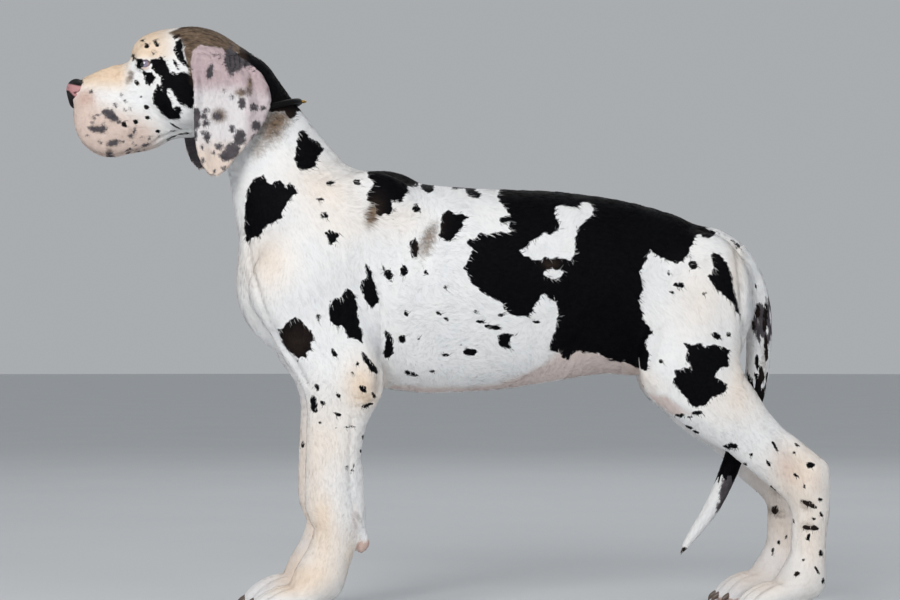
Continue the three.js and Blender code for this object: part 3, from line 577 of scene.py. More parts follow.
def decimated(made, triangles, spare):
    """The object, thinned to about so many triangles; spare, from 0 to 1, says how freely at each vertex."""
    group = made.vertex_groups.new(name="spare")
    for level in np.unique(spare.round(1)):
        group.add(np.flatnonzero(spare.round(1) == level).tolist(), float(level), "REPLACE")
    modifier = made.modifiers.new("thin", "DECIMATE")
    modifier.vertex_group = "spare"
    modifier.ratio = min(1.0, triangles / (2.0 * len(made.data.polygons)))
    modifier.use_collapse_triangulate = True
    bpy.context.view_layer.update()
    thin = bpy.data.meshes.new_from_object(made.evaluated_get(bpy.context.evaluated_depsgraph_get()))
    old = made.data
    made.modifiers.clear()
    made.data = thin
    bpy.data.meshes.remove(old)
    made.vertex_groups.clear()
    thin.polygons.foreach_set("use_smooth", np.ones(len(thin.polygons), bool))
    return made


# Camera, floor and lights
LENS_PIXELS, WIDE_PIXELS, TALL_PIXELS, HORIZON_ROW = 2261, 900, 600, 353
SENSOR_WIDTH = 36
CAMERA = np.array([-316.9, -2580.6, 299.0])
CAMERA_TURN = math.radians(7)
AHEAD = np.array([math.sin(CAMERA_TURN), math.cos(CAMERA_TURN), 0])
ACROSS = np.array([math.cos(CAMERA_TURN), -math.sin(CAMERA_TURN), 0])


def photo_place(points):
    """Where points of the left side lie in the photograph, in its 900 by 600 pixels."""
    away = points - CAMERA
    depth = away @ AHEAD
    column = WIDE_PIXELS / 2 + LENS_PIXELS * (away @ ACROSS) / depth
    return np.stack([column, HORIZON_ROW - LENS_PIXELS * away[:, 2] / depth], 1)


def left_place(points):
    """The same, with points of the right side taken to the left."""
    return photo_place(np.stack([points[:, 0], -np.abs(points[:, 1]), points[:, 2]], 1))


def on_head(points):
    return (points[:, 0] < HEAD_BACK) & (points[:, 2] > HEAD_FLOOR)


camera_data = bpy.data.cameras.new("camera")
camera_data.sensor_width = SENSOR_WIDTH
camera_data.lens = LENS_PIXELS / WIDE_PIXELS * SENSOR_WIDTH
camera_data.shift_y = (HORIZON_ROW - TALL_PIXELS / 2) / WIDE_PIXELS
camera_data.clip_end = 200
camera = bpy.data.objects.new("camera", camera_data)
camera.location = CAMERA * MM
camera.rotation_euler = (math.radians(90), 0, -CAMERA_TURN)
bpy.context.scene.collection.objects.link(camera)
bpy.context.scene.camera = camera


def area_light(name, place, power, size, colour=(1, 1, 1), aim=(0, 0, 0.3)):
    data = bpy.data.lights.new(name, "AREA")
    data.energy, data.size, data.color = power, size, colour
    light = bpy.data.objects.new(name, data)
    light.location = place
    light.rotation_euler = (Vector(aim) - Vector(place)).to_track_quat("-Z", "Y").to_euler()
    bpy.context.scene.collection.objects.link(light)


area_light("key", (-1.5, -2.7, 1.9), 64, 1.5, (1, 0.985, 0.96))
area_light("fill", (2.0, -2.6, 1.0), 17, 2.2, (0.94, 0.97, 1))
area_light("rim", (0.8, 2.6, 2.4), 14, 1.8)
world = bpy.data.worlds.new("studio")
bpy.context.scene.world = world
bpy.context.scene.view_settings.view_transform = "Standard"
world.use_nodes = True
world.node_tree.nodes["Background"].inputs[0].default_value = (0.80, 0.83, 0.86, 1)
world.node_tree.nodes["Background"].inputs[1].default_value = 0.50


# Material nodes
class Nodes:
    """A short way to write shader nodes."""

    def __init__(self, name):
        self.material = bpy.data.materials.new(name)
        self.material.use_nodes = True
        self.tree = self.material.node_tree
        self.shader = self.tree.nodes["Principled BSDF"]

    def put(self, socket, value):
        if hasattr(value, "is_output"):
            self.tree.links.new(value, socket)
        elif value is not None:
            socket.default_value = value

    def node(self, kind, *inputs, out=0, **settings):
        made = self.tree.nodes.new(kind)
        for key, value in settings.items():
            setattr(made, key, value)
        for socket, value in zip(made.inputs, inputs):
            self.put(socket, value)
        return made.outputs[out]

    def attribute(self, name):
        return self.node("ShaderNodeAttribute", attribute_name=name, out=2)

    def position(self):
        return self.node("ShaderNodeTexCoord", out=3)

    def math(self, operation, a, b=None, c=None):
        return self.node("ShaderNodeMath", a, b, c, operation=operation)

    def mix(self, share, a, b):
        made = self.tree.nodes.new("ShaderNodeMix")
        made.data_type = "RGBA"
        self.put(made.inputs[0], share)
        self.put(made.inputs[6], a)
        self.put(made.inputs[7], b)
        return made.outputs[2]

    def ramp(self, value, low, high, to_low=0.0, to_high=1.0):
        made = self.tree.nodes.new("ShaderNodeMapRange")
        for i, v in enumerate((value, low, high, to_low, to_high)):
            self.put(made.inputs[i], v)
        made.interpolation_type = "SMOOTHSTEP"
        return made.outputs[0]

    def noise(self, scale, detail=2.0, rough=0.5, vector=None, stretch=None, colour=False):
        vector = vector or self.position()
        if stretch:
            mapping = self.tree.nodes.new("ShaderNodeMapping")
            self.put(mapping.inputs[0], vector)
            mapping.inputs["Scale"].default_value = stretch
            vector = mapping.outputs[0]
        made = self.tree.nodes.new("ShaderNodeTexNoise")
        self.put(made.inputs["Vector"], vector)
        made.inputs["Scale"].default_value = scale
        made.inputs["Detail"].default_value = detail
        made.inputs["Roughness"].default_value = rough
        return made.outputs[1 if colour else 0]

    def bump(self, height, strength, distance, normal=None):
        made = self.tree.nodes.new("ShaderNodeBump")
        made.inputs["Strength"].default_value = strength
        made.inputs["Distance"].default_value = distance
        self.put(made.inputs["Height"], height)
        if normal is not None:
            self.put(made.inputs["Normal"], normal)
        return made.outputs[0]

    def set(self, name, value):
        self.put(self.shader.inputs[name], value)


def rgb(r, g, b):
    """A colour given as it looks on a screen, from 0 to 255."""
    return (*[((c / 255 + 0.055) / 1.055) ** 2.4 if c > 10 else c / 255 / 12.92 for c in (r, g, b)], 1)


floor_paint = Nodes("floor_paint")
floor_paint.set("Base Color", floor_paint.mix(floor_paint.noise(3, 4), rgb(206, 209, 212), rgb(213, 216,
218)))
floor_paint.set("Roughness", 0.75)
bpy.ops.mesh.primitive_circle_add(vertices=64, radius=30, fill_type="NGON")
floor = bpy.context.object
floor.name = "floor"
floor.data.materials.append(floor_paint.material)

# Markings: outlines on the left side, in columns and rows of the photograph
NECK_PATCH = [(298, 133), (303, 130), (309, 137), (318, 142), (324, 149), (318, 157), (315, 166),
              (310, 169), (301, 171),
              (296, 164), (294, 160), (296, 150), (297, 140)]
NAPE = [(240, 46), (256, 57), (268, 55), (283, 70), (294, 86), (304, 100), (309, 109), (297, 112),
        (293, 120),
        (288, 118), (284, 111), (276, 111), (262, 112), (252, 104), (250, 84), (246, 66), (238, 56)]
CHEST_PATCH = [(250, 184), (255, 178), (264, 175), (267, 183), (272, 184), (281, 180), (285, 187),
               (289, 182), (295, 186),
               (297, 193), (290, 199), (284, 208), (281, 219), (274, 222), (265, 227), (259, 237),
               (251, 238), (247, 245),
               (244, 225), (245, 210), (246, 195)]
WITHERS_PATCH = [(363, 157), (380, 156), (394, 161), (409, 166), (421, 171), (418, 186), (408, 187),
                 (409, 190), (404, 196),
                 (401, 202), (397, 202), (391, 200), (393, 208), (389, 216), (383, 214), (380, 217),
                 (376, 214), (375, 205),
                 (367, 200), (366, 195), (369, 190), (374, 184), (369, 178)]
TOP_SPOT = [(420, 170), (434, 171), (434, 188), (433, 191), (428, 194), (421, 188)]
TOP_STRIP = [(452, 174), (477, 175), (475, 190), (481, 194), (478, 198), (472, 198), (467, 195),
             (465, 189), (452, 189)]
BACK_SPOT = [(443, 213), (449, 210), (455, 214), (463, 214), (469, 217), (463, 221), (463, 226),
             (457, 233), (450, 242),
             (444, 240), (439, 235), (441, 225), (441, 217)]
SADDLE = [(497, 197), (503, 180), (520, 173), (600, 176), (650, 184), (694, 196), (722, 213), (732, 232),
          (722, 233),
          (716, 233), (710, 238), (703, 238), (700, 234), (696, 235), (693, 243), (690, 248), (688, 256),
          (683, 260),
          (678, 263), (670, 261), (662, 258), (655, 254), (650, 250), (647, 258), (643, 265), (640, 272),
          (641, 280),
          (643, 287), (642, 293), (639, 300), (640, 308), (643, 312), (642, 317), (646, 322), (650, 328),
          (653, 333),
          (649, 335), (645, 343), (647, 348), (649, 355), (647, 371), (636, 367), (624, 362), (612, 361),
          (597, 353),
          (583, 353), (576, 351), (568, 360), (563, 359), (561, 353), (549, 350), (551, 343), (556, 328),
          (557, 320),
          (558, 310), (556, 302), (550, 300), (545, 293), (541, 296), (538, 302), (534, 306), (532, 313),
          (527, 316),
          (514, 316), (508, 313), (503, 309), (502, 303), (490, 297), (481, 292), (476, 287), (470, 280),
          (464, 268),
          (467, 262), (470, 256), (473, 250), (465, 241), (476, 238), (480, 232), (486, 235), (495, 232),
          (509, 232),
          (511, 231), (509, 228), (510, 222), (500, 223), (500, 217), (510, 215), (506, 210), (500, 202)]
SADDLE_ISLANDS = [
    [(520, 251), (526, 246), (533, 240), (538, 237), (545, 233), (551, 235), (557, 231), (560, 226),
    (557, 220), (554, 213),
     (556, 207), (562, 205), (570, 208), (577, 207), (583, 202), (588, 202), (593, 208), (593, 213),
     (588, 219), (582, 224),
     (577, 231), (575, 239), (575, 254), (571, 260), (565, 259), (558, 256), (552, 259), (545, 257),
     (540, 260),
     (535, 261), (529, 257), (524, 256)],
    [(544, 272), (551, 268), (558, 270), (564, 271), (562, 276), (555, 279), (547, 278), (543, 275)],
]
HIP_PATCH = [(712, 252), (719, 255), (726, 262), (729, 270), (732, 277), (733, 285), (735, 293),
             (740, 314), (735, 312),
             (734, 303), (729, 300), (724, 296), (719, 291), (713, 285), (708, 277), (712, 272),
             (714, 266), (711, 260)]
THIGH_PATCH = [(684, 343), (692, 345), (700, 343), (706, 347), (716, 344), (724, 347), (730, 350),
               (728, 357), (729, 362),
               (728, 367), (720, 368), (717, 372), (714, 376), (720, 379), (727, 385), (726, 391),
               (720, 395), (711, 398),
               (705, 405), (696, 407), (690, 404), (688, 400), (682, 394), (678, 388), (672, 382),
               (675, 376), (674, 371),
               (682, 369), (691, 367), (690, 363), (685, 362), (686, 355), (687, 350)]
SHOULDER_PATCH = [(329, 310), (332, 302), (334, 298), (340, 299), (343, 293), (346, 289), (352, 291),
                  (355, 297), (357, 305),
                  (358, 315), (360, 325), (362, 333), (362, 343), (357, 340), (352, 337), (348, 338),
                  (345, 330), (341, 325),
                  (337, 328), (333, 324), (330, 320)]
RIB_STREAK = [(366, 263), (370, 267), (372, 276), (375, 285), (377, 294), (379, 303), (375, 304),
              (371, 309), (367, 303),
              (363, 295), (360, 287), (361, 281), (367, 279), (365, 270)]
RIB_STREAK_SMALL = [(381, 262), (386, 270), (390, 269), (393, 275), (392, 282), (388, 280), (384, 274)]
ARM_PATCH = [(278, 329), (282, 330), (287, 323), (291, 320), (295, 317), (301, 319), (306, 325),
             (310, 330), (314, 337),
             (315, 341), (311, 343), (311, 349), (306, 353), (307, 358), (302, 357), (299, 360),
             (294, 355), (289, 351),
             (284, 345), (281, 338)]
ELBOW_STREAK = [(361, 350), (366, 355), (371, 360), (375, 366), (379, 372), (376, 375), (371, 371),
                (366, 364), (362, 357)]
CHEST_SPOT = [(385, 329), (390, 333), (393, 338), (394, 353), (390, 357), (385, 359), (383, 353),
              (385, 345), (386, 337)]
BELLY_SPOT = [(402, 373), (407, 370), (414, 372), (420, 376), (414, 377), (406, 375)]
RIB_SPOT = [(325, 232), (330, 230), (340, 233), (336, 241), (331, 246), (327, 238)]
FLANK_SPOT = [(497, 336), (501, 333), (516, 334), (511, 338), (509, 343), (512, 348), (506, 349),
              (499, 346)]
RIB_BROWN = [(410, 240), (416, 238), (419, 247), (417, 256), (412, 259), (410, 250)]
OUTLINES = [NECK_PATCH, NAPE, CHEST_PATCH, WITHERS_PATCH, TOP_SPOT, TOP_STRIP, BACK_SPOT, HIP_PATCH,
THIGH_PATCH,
            SHOULDER_PATCH, RIB_STREAK, RIB_STREAK_SMALL, ARM_PATCH, ELBOW_STREAK, CHEST_SPOT, BELLY_SPOT,
            RIB_SPOT,
            FLANK_SPOT, RIB_BROWN]
# Specks: column, row, half width, half height and lean in degrees.
SPECKS = [
    (330, 183, 4, 2, 0), (357, 182, 3.5, 3, 0), (320, 199, 4, 1.3, 0), (324, 215, 4, 3, 0),
    (416, 208, 3.6, 4.6, 0),
    (426, 273, 2.6, 2, 30), (445, 287, 2.4, 1.8, 30), (406, 314, 2, 3.6, -30), (438, 313, 3.6, 1.4, 30),
    (446, 319, 2.4, 1.5, 20), (476, 311, 2.6, 1.6, 20), (500, 315, 2.6, 1.6, 0), (481, 322, 4, 1.6, 10),
    (493, 327, 8, 2.2, 8), (536, 322, 4, 1.5, 0), (470, 352, 7, 3.2, 0), (445, 355, 3.6, 1.4, 0),
    (432, 371, 3, 1, 0),
    (404, 271, 4, 5.4, 0), (318, 317, 2, 3.6, -20), (334, 353, 2.2, 5, -25), (402, 339, 3.6, 4, -40),
    (419, 339, 2, 1.6, 0),
    (330, 303, 1.4, 2.6, 0), (317, 387, 2.2, 4, -25), (314, 404, 3.6, 9, -8), (323, 403, 3, 2, 30),
    (363, 389, 5, 2.6, 40),
    (374, 395, 1.6, 3, -30), (367, 405, 7, 1.5, -15), (338, 395, 1.4, 3, -35), (338, 414, 5, 1.2, 15),
    (350, 427, 6, 1.1, 0),
    (357, 363, 1.4, 1.4, 0), (353, 373, 1.4, 1.4, 0), (320, 422, 1.5, 1.1, 0), (335, 428, 1.3, 1, 0),
    (363, 437, 1, 2.4, 0),
    (361, 451, 1, 1.6, 0), (347, 467, 2, 1.2, -40), (354, 465, 1, 2, 20), (352, 471, 1.4, 1, 0),
    (693, 265, 4.6, 4.6, 0), (679, 285, 5.6, 2.8, 10), (672, 292, 2, 1.4, 0), (704, 293, 2.2, 1.6, 0),
    (668, 273, 1.8, 2, 0),
    (716, 335, 4.6, 3.2, 30), (728, 335, 2.6, 2.6, 0), (661, 361, 2, 2.2, 0), (697, 413, 5.4, 2.4, 0),
    (680, 415, 5, 1.6, 0), (690, 417, 3, 1.3, 0), (688, 427, 6, 1.6, 15), (696, 432, 4, 1.4, 20),
    (731, 446, 7, 2.8, 0),
    (751, 454, 1.8, 1.3, 0), (745, 464, 2.2, 1.4, 20), (768, 463, 1.4, 4.4, -30), (775, 446, 1.5, 5, -30),
    (794, 452, 2, 1.4, 0), (797, 445, 2.2, 1.1, 20), (810, 465, 4.2, 3.4, 0), (796, 475, 3, 1.4, 30),
    (804, 485, 1.6, 2.6, -30),
    (773, 489, 1.6, 4, -45), (780, 500, 1.3, 2, 0), (788, 511, 1.3, 2, 0), (793, 520, 1.1, 2.6, -20),
    (809, 504, 9, 2.6, 25),
    (820, 500, 3, 1.8, 10), (821, 514, 1.6, 2.4, 0), (814, 518, 2, 1.4, 0), (811, 528, 9, 2.4, 5),
    (808, 537, 2, 3.4, 20),
    (803, 560, 1.5, 1.3, 0), (797, 574, 2.8, 2.4, 0), (817, 570, 1.6, 4.6, -30), (821, 553, 1.8, 2.8, -20),
    (823, 581, 1.5, 2.8, 0),
]
FAR_LEG_SPECKS = [(303, 445, 1.8, 2.6, 0), (775, 510, 3.4, 4.6, 0), (786, 537, 1.5, 2, 0),
                  (773, 552, 1.8, 3, 0),
                  (779, 543, 1.5, 1.5, 0)]

FACE_OUTLINES = [
    [(69, 83), (73, 79), (80, 78), (82.5, 80), (82.5, 85), (79, 86), (74, 84)],
    [(143, 71), (148, 71.5), (152, 72), (155, 78), (153, 82), (149.5, 85.5), (146, 84.5), (143.6, 78)],
    [(153, 41), (156, 40), (158.6, 44), (158, 47.5), (155, 46)],
    [(151, 60), (155, 58.5), (158.6, 59.5), (160, 55), (163, 58), (165, 61), (167.7, 67), (170, 73),
    (174, 72), (176, 74.5),
     (180.5, 71), (184, 71.4), (190, 73.5), (194, 78), (194, 108), (189, 108), (185, 106), (181, 104.5),
     (177.7, 100),
     (174, 93.6), (171.4, 90), (168.6, 88.6), (167, 90), (169, 97), (171.6, 103.6), (173, 108),
     (176, 105), (181, 107),
     (182, 111), (179, 113), (181, 116), (179.5, 120), (170.5, 119), (166, 117), (161, 112.7),
     (156.8, 107), (153.2, 103.6),
     (152.7, 97), (154, 91), (157.7, 84.5), (160, 88), (162.6, 92), (161.6, 88), (160.5, 83.6), (160, 76),
     (155, 72.7),
     (151.4, 67)],
    [(182, 38), (178, 39.5), (175.5, 43), (174, 46), (174, 51), (176, 57), (178.5, 61), (182, 64.5),
    (186, 67), (189.5, 70),
     (189, 66), (186, 61), (184, 56), (182.6, 50), (182.4, 44)],
    [(172.7, 37), (174.5, 34.5), (179.5, 33.6), (179.5, 36), (177, 38.5), (174, 39.5)],
    [(173, 59.5), (175, 61), (177.5, 65), (178.6, 70), (176.5, 69.5), (174, 66)],
    [(131.6, 59.5), (132, 55), (134.5, 54), (135.4, 58), (134, 62)],
    [(136.5, 59), (139, 58.6), (143, 59.4), (149, 61), (152, 65), (148, 62.6), (143, 61), (140.4, 62.5),
    (139.6, 65), (141, 68),
     (143, 69.6), (140, 71), (137.6, 68), (136, 65.5)],
]
FACE_SPECKS = [
    (146.5, 46, 2.2, 2.3, 20), (153, 54, 0.8, 3, -32), (143, 41, 1.7, 0.9, 0), (158, 131.5, 2.3, 2.0, 0),
    # The four thin streaks behind the mouth's corner, from (175, 126) to (171, 137.6), are painted shade in
    # the lip's folds.
    (136, 122, 2.2, 2.2, 0), (147, 117.5, 2.5, 2.0, 0), (146.5, 107.5, 2.2, 2.0, 0), (175, 126, 6, 0.8, 30),
    (173, 131, 4, 0.6, -5), (184, 133.6, 6, 0.8, -6), (171, 137.6, 6, 0.7, -22),
    (136.5, 83, 1.6, 3.6, -28), (141, 97, 0.7, 0.7, 0),
    (124, 124.5, 2.6, 3, 0),
]
MUZZLE_SPECKS = [
    (104, 112, 2.4, 1.8, 0), (115, 105, 1.2, 2.6, -20), (116, 141, 2.6, 2.0, 0), (108, 144, 1.6, 1.4, 0),
    (109, 153, 3.4, 1.6, 0),
    (130, 136, 2.6, 2.2, 0), (134, 131, 1.3, 3, 0), (135, 145, 1.4, 1.1, 0), (149, 138, 1.2, 2.2, 0),
    (141, 137, 1.3, 1.1, 0),
    (91, 92, 1.3, 1.3, 0), (98, 115, 2.2, 0.8, 0), (94, 118, 1.3, 1.3, 0), (92, 122, 1.5, 1.2, 0),
    (124, 110, 0.8, 2.0, -30),
    (121, 95, 0.7, 1.5, -20), (125, 101, 0.8, 2.2, -20), (130, 109, 0.7, 1.8, -30), (100, 142, 1.4, 1.2, 0),
    (87, 136, 0.9, 0.9, 0), (128, 150, 3.2, 1.1, -25), (136, 151, 3.6, 1.3, -20), (145, 145, 4.5, 1.6, -25),
    (133, 142, 0.9, 0.9, 0), (123, 142, 1.0, 1.0, 0), (158, 136, 1.0, 0.8, 0), (103, 124, 1.5, 1.1, 0),
]
MUZZLE_GREY = [
    [(87, 127), (92, 125.5), (98, 127.5), (104, 124), (107, 129), (103, 133), (95, 132), (90, 130)],
    [(102, 111), (107, 108), (111, 109), (114, 113), (119, 119), (122, 123), (118, 123), (111, 121),
    (105, 118), (103.5, 114)],
    [(106, 144), (110, 141), (116, 139), (119, 142), (116, 146), (109, 146)],
]
EYE_BROWN = [(127, 72), (131, 69), (135, 72), (134, 79), (131, 84), (126, 86), (124, 82)]
MUZZLE_STAINS = [(90, 92, 2.5, 3, 0, 0.5), (112, 118, 13, 8, 35, 0.4), (97, 129, 12, 6, 10, 0.55),
                 (132, 134, 7, 8, 0, 0.45),
                 (112, 143, 8, 5, -15, 0.6), (109, 152, 6, 4, 0, 0.6), (133, 152, 12, 4, -15, 0.4),
                 (146, 109, 5, 8, 0, 0.3),
                 (138, 84, 3, 4, 30, 0.5), (92, 118, 3, 3, 0, 0.35), (100, 143, 4, 3, 0, 0.3)]

EAR_OUTLINES = [
    [(228, 143), (234, 141), (241, 147), (238, 155), (232, 160), (225, 161), (219, 157), (218, 154),
    (224, 150)],
]
EAR_SPECKS = [
    (210, 71, 3.2, 8, 16), (242, 103, 4, 6, 0), (232, 96, 2, 2, 0), (224, 90, 1.5, 1.5, 0),
    (217, 116, 4, 4, 0),
    (254, 107, 4.4, 3.8, 0), (263, 108, 3, 2.4, 0), (196, 115, 4.6, 8, 0), (204, 115, 3, 4, 0),
    (207, 109, 2.8, 1.8, 0),
    (206, 123, 3.4, 4, 0), (195, 124, 5, 5.6, 0), (207, 136, 3.4, 5, 0), (203, 132, 2, 2, 0),
    (256, 125, 5, 5, 0),
    (232, 128, 2.4, 4, 0), (240, 137, 6, 8, 0), (254, 137, 2.8, 2.8, 0), (219, 146, 4, 3, 0),
    (195, 135, 2.6, 5, 0),
    (202, 147, 1.5, 2.8, 0), (213, 152, 2, 1.8, 0), (203, 160, 1.8, 2.8, 0), (224, 168, 2.5, 2, 0),
    (214, 170, 1.5, 1.5, 0),
    (212, 176, 2.3, 2, 0),
]
EAR_TAUPE = [(219, 115, 10, 9.5, 0), (241, 92, 8, 6, 0), (195, 118, 6, 8, 0), (250, 84, 3, 12, 0)]
CROWN_FRONT = [(181, 40), (174, 37), (166, 33), (176, 29), (190, 20), (215, 16), (240, 20), (252, 34)]
CROWN = CROWN_FRONT + [(262, 58), (238, 52), (228, 58), (222, 48), (212, 47), (205, 43), (199, 46),
(193, 51), (191.5, 62),
                       (190, 78), (187, 66), (184.5, 52)]
CROWN_UNDER = CROWN_FRONT + [(246, 52), (250, 75), (215, 85), (196, 92), (190, 84), (187, 66), (184.5, 52)]
EAR_SLATE = [(226, 50), (232, 44), (246, 48), (259, 60), (253, 66), (243, 67), (238, 71), (231, 75),
             (227, 71), (224, 62)]

# The tail's own marks; it is black between these two heights, in millimetres.
TAIL_BLACK = (152, 268)
TAIL_OUTLINES = [
    [(727, 240), (733, 240), (740, 245), (742, 254), (739, 257), (735, 251), (730, 250)],
    [(744, 299), (750, 301), (751, 312), (749, 323), (745, 321), (743, 310)],
]
TAIL_SPECKS = [
    (741, 262, 1.3, 9, 8), (754, 287, 2.6, 4.4, 0), (757, 311, 3.4, 8, 0), (765, 318, 2.4, 15, 3),
    (753, 325, 1.6, 5, 0),
    (766, 348, 2, 14, -2), (757, 362, 1.8, 8, 0), (761, 375, 2.4, 9, 0), (752, 306, 1.5, 4, 0),
    (684, 551, 3, 4, 30),
]
TAIL_GREY = [
    [(752, 303), (760, 306), (772, 298), (773, 318), (771, 337), (761, 340), (755, 330)],
    [(727, 468), (742, 474), (734, 492), (723, 513), (717, 509), (720, 494)],
]
TAIL_STAINS = [(756, 318, 9, 16, 0, 0.6), (764, 360, 5, 30, 0, 0.5), (684, 551, 5, 6, 0, 0.5)]

# Soft patches, mostly stains and some painted shade, as noted: column, row, half width, half height, lean and
# strength.
TAUPE_STAINS_AND_SHADE = [
    (371, 214, 8, 15, 15, 0.9), (430, 232, 9, 17, 30, 0.62), (424, 250, 9, 14, 30, 0.5),
    (398, 230, 4, 5, 0, 0.4),
    # The blotches behind the ear, from (271, 128) to (256, 150), are partly grey hair and partly painted
    # shade where the ear overhangs the neck.
    (383, 234, 3, 5, 0, 0.35), (271, 128, 19, 19, 0, 0.7), (281, 117, 13, 9, 0, 0.6),
    (256, 150, 12, 16, 20, 0.45),
    (314, 301, 2, 5, 0, 0.4), (459, 283, 3, 2, 0, 0.3), (550, 264, 7, 5, 0, 0.8),
    (705, 262, 8, 12, 20, 0.35),
    (713, 292, 6, 6, 0, 0.25), (297, 340, 15, 17, 30, 0.5), (806, 504, 12, 8, 20, 0.5),
    (808, 526, 12, 8, 0, 0.5), (368, 399, 10, 5, -10, 0.4), (797, 574, 5, 4, 0, 0.4),
    (352, 545, 6, 12, 0, 0.15),
]
PINK_STAINS = [(786, 468, 13, 22, -25, 0.5), (356, 520, 5, 16, 0, 0.4), (816, 480, 8, 14, 0, 0.3)]
WARM_STAINS_AND_SHADE = [
    (330, 440, 26, 40, 0, 0.3), (326, 545, 18, 36, 0, 0.5), (352, 556, 8, 22, 0, 0.4),
    (795, 470, 24, 26, 0, 0.4),
    (812, 540, 18, 46, 0, 0.4), (735, 400, 30, 24, 0, 0.3), (700, 300, 26, 34, 0, 0.25),
    (770, 300, 8, 60, 0, 0.3),
    (362, 385, 18, 22, 0, 0.75), (366, 398, 9, 6, 0, 0.6), (268, 262, 22, 28, 0, 0.42),
    (320, 185, 34, 22, 20, 0.36),
    (345, 222, 40, 18, 0, 0.2), (313, 480, 11, 60, 0, 0.3), (322, 515, 10, 20, 0, 0.45),
    (305, 575, 24, 14, 0, 0.6),
    (290, 588, 26, 10, 0, 0.5), (400, 218, 22, 14, 0, 0.22), (640, 378, 20, 10, 20, 0.3),
    (765, 585, 30, 14, 0, 0.35),
    # The two narrow streaks at (735, 262) and (738, 372) are painted shade, in the crease between the thigh
    # and the tail.
    (735, 262, 8, 40, 0, 0.3), (738, 372, 8, 30, 0, 0.3), (800, 480, 26, 40, 0, 0.28),
]


def ellipse_distance(uv, speck):
    """About how far outside an ellipse each place is, in pixels."""
    u0, v0, a, b, lean = speck[:5]
    c, s = math.cos(math.radians(lean)), math.sin(math.radians(lean))
    x, y = uv[:, 0] - u0, uv[:, 1] - v0
    p, q = x * c + y * s, y * c - x * s
    ratio = np.hypot(p / a, q / b)
    return np.where(ratio > 1e-3, np.hypot(p, q) * (1 - 1 / np.maximum(ratio, 1e-3)), -min(a, b))


def nearest_mark(uv, outlines, specks, start=40.0):
    d = np.full(len(uv), start, np.float32)
    for outline in outlines:
        low, high = np.min(outline, 0) - 30, np.max(outline, 0) + 30
        near = np.flatnonzero(((uv > low) & (uv < high)).all(1))
        if len(near):
            d[near] = np.minimum(d[near], polygon_distance(uv[near], outline))
    for speck in specks:
        reach = max(speck[2:4]) + 25
        near = np.flatnonzero((np.abs(uv - speck[:2]) < reach).all(1))
        if len(near):
            d[near] = np.minimum(d[near], ellipse_distance(uv[near], speck))
    return d


def soft_patches(uv, stains):
    """How strongly soft patches, stains and painted shade alike, colour each place, from 0 to 1."""
    rest = np.ones(len(uv))
    for s in stains:
        x = ellipse_ratio(uv, s)
        rest *= 1 - s[5] * np.exp(-0.9 * x**2)
    return 1 - rest


def ellipse_ratio(uv, s):
    c, k = math.cos(math.radians(s[4])), math.sin(math.radians(s[4]))
    x, y = uv[:, 0] - s[0], uv[:, 1] - s[1]
    return np.hypot((x * c + y * k) / s[2], (y * c - x * k) / s[3])


rng = np.random.default_rng(20)


def cousin(outline, shift, scale, turn):
    """An outline moved, resized and turned about its own middle, for the side that the photograph hides."""
    o = np.asarray(outline, float)
    m = o.mean(0)
    c, s = math.cos(turn), math.sin(turn)
    return (o - m) @ np.array([[c, s], [-s, c]]) * scale + m + shift


MIDLINE_OUTLINES = [NAPE, WITHERS_PATCH, TOP_SPOT, TOP_STRIP]
RIGHT_OUTLINES = MIDLINE_OUTLINES + [
    cousin(CHEST_PATCH, (40, 40), 0.9, 0.8), cousin(SHOULDER_PATCH, (-30, -46), 1.35, -0.5),
    cousin(BACK_SPOT, (-46, 66), 1.3, 1.2), cousin(HIP_PATCH, (-18, 30), 1.1, 0.5), cousin(THIGH_PATCH,
    (20, -4), 0.8, 1.9),
    cousin(ARM_PATCH, (36, 30), 0.9, 1.0), cousin(CHEST_SPOT, (50, -20), 1.2, 0.5), cousin(ELBOW_STREAK,
    (-20, -30), 1.2, 0),
    cousin(NECK_PATCH, (-20, 12), 0.9, 0.7), cousin(RIB_STREAK, (60, 46), 1.1, 0.9), cousin(FLANK_SPOT,
    (-40, -30), 1.5, 0.4),
]
RIGHT_SPECKS = [
    (u + rng.normal(0, 16), v + rng.normal(0, 13), a * k, b * k, lean)
    for (u, v, a, b, lean), k in zip(SPECKS, rng.uniform(0.7, 1.4, len(SPECKS)))
]


def undulation(points, length, seed):
    """A smooth random wave of about the given length in millimetres, from -1 to 1."""
    draw = np.random.default_rng(seed)
    total = np.zeros(len(points))
    for _ in range(10):
        way = draw.normal(size=3)
        way *= 2 * math.pi / length / np.linalg.norm(way) * draw.uniform(0.6, 1.5)
        total += np.sin(points @ way + draw.uniform(0, 6.28))
    return total / 4


